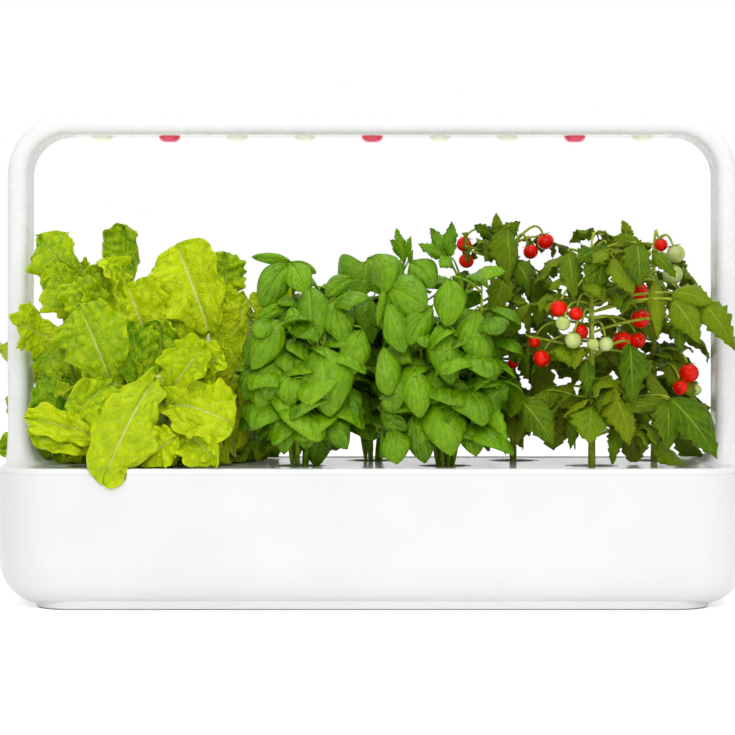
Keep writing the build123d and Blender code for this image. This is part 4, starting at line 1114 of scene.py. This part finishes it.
for material, names in dress:
    for name in names:
        mesh = nodes[name].data
        mesh.materials.clear()
        mesh.materials.append(material)


# ---- plants, fruit and crumbs take their places ----
def takes_place(piece, pod, node):
    """A piece rides with its pod, in place of a CAD node."""
    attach(piece, f"pod_{pod}")
    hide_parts(node)


for pods, maker, kind in ((lettuce_pods, make_lettuce, "lettuce"), (basil_pods, make_basil, "basil"),
                          (tomato_pods, make_tomato, "tomato")):
    for pod in pods:
        takes_place(maker(pod), pod, f"{kind}_{pod}")

for pod in tomato_pods:
    for kind, skin in fruit_kinds.items():
        node = f"{kind}_fruit_{pod}"
        if node in nodes:
            takes_place(make_fruit(pod, node, skin, f"{kind}_fruit_dressed"), pod, node)

crumb_tree = make_crumb_tree(growing_medium)
for pod in pod_places:
    crumbs = make_crumbs(pod, crumb_tree)
    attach(crumbs, f"pod_{pod}")


# ---- floor, world, lamps and camera ----
def seen_directly(tree):
    """1 for rays that see the background itself, in mirrors and glass as well."""
    path = tree.nodes.new("ShaderNodeLightPath").outputs
    either = math_node(tree, "MAXIMUM", path["Is Camera Ray"], path["Is Glossy Ray"])
    return math_node(tree, "MAXIMUM", either, path["Is Transmission Ray"])


def make_floor():
    """Wide sheet of white paper that glows a little where it is seen directly."""
    mesh = bpy.data.meshes.new("floor")
    far = 6.0
    mesh.from_pydata([(-far, -far, 0), (far, -far, 0), (far, far, 0), (-far, far, 0)], [], [(0, 1, 2, 3)])
    material, tree, shader = start_material("floor_paper", Roughness=0.9, Specular_IOR_Level=0.0,
                                            Emission_Color=white)
    grain = noise(tree, object_place(tree), 40.0)
    wire(tree, shader, {"Base Color": mix_colour(tree, grain, (0.93, 0.93, 0.93, 1), (0.95, 0.95, 0.95, 1)),
                        "Emission Strength": times(tree, seen_directly(tree), 0.5)})
    mesh.materials.append(material)
    show("floor", mesh)


def make_world():
    """White where it is seen directly, and softer light from it, weakest from the sides."""
    world = bpy.data.worlds.new("studio")
    bpy.context.scene.world = world
    world.use_nodes = True
    tree = world.node_tree
    way = tree.nodes.new("ShaderNodeTexCoord").outputs["Generated"]
    sideways = add_node(tree, "ShaderNodeSeparateXYZ", {0: way}).outputs[0]
    soft = math_node(tree, "MULTIPLY_ADD", times(tree, sideways, sideways), -0.3, 0.64)
    change = math_node(tree, "SUBTRACT", 1.0, soft)
    level = math_node(tree, "MULTIPLY_ADD", change, seen_directly(tree), soft)
    wire(tree, tree.nodes["Background"], {"Color": white, "Strength": level})


def make_lamp(name, place, wide, high, power):
    """Soft rectangular lamp that faces the plants."""
    lamp = bpy.data.lights.new(name, "AREA")
    lamp.shape = "RECTANGLE"
    lamp.size, lamp.size_y = wide, high
    lamp.energy = power
    holder = show(name, lamp)
    holder.location = place
    target = Vector((0, 0, 0.2))
    holder.rotation_euler = (target - Vector(place)).to_track_quat("-Z", "Y").to_euler()


def make_camera():
    camera = bpy.data.cameras.new("camera")
    camera.sensor_width = 36
    camera.lens = focal_pixels * camera.sensor_width / frame_pixels
    camera.shift_x = (frame_pixels / 2 - centre_column) / frame_pixels
    camera.shift_y = (centre_row - frame_pixels / 2) / frame_pixels
    camera.clip_end = 50
    holder = show("camera", camera)
    holder.location = (0, -eye_distance, eye_height)
    holder.rotation_euler = (math.pi / 2, 0, 0)
    bpy.context.scene.camera = holder


make_floor()
make_world()
make_lamp("front_softbox", (0.0, -2.6, 1.5), 1.8, 1.4, 25)
make_lamp("top_softbox", (0.2, -0.3, 2.2), 1.6, 1.2, 14)
make_camera()
bpy.context.scene.view_settings.view_transform = "Standard"
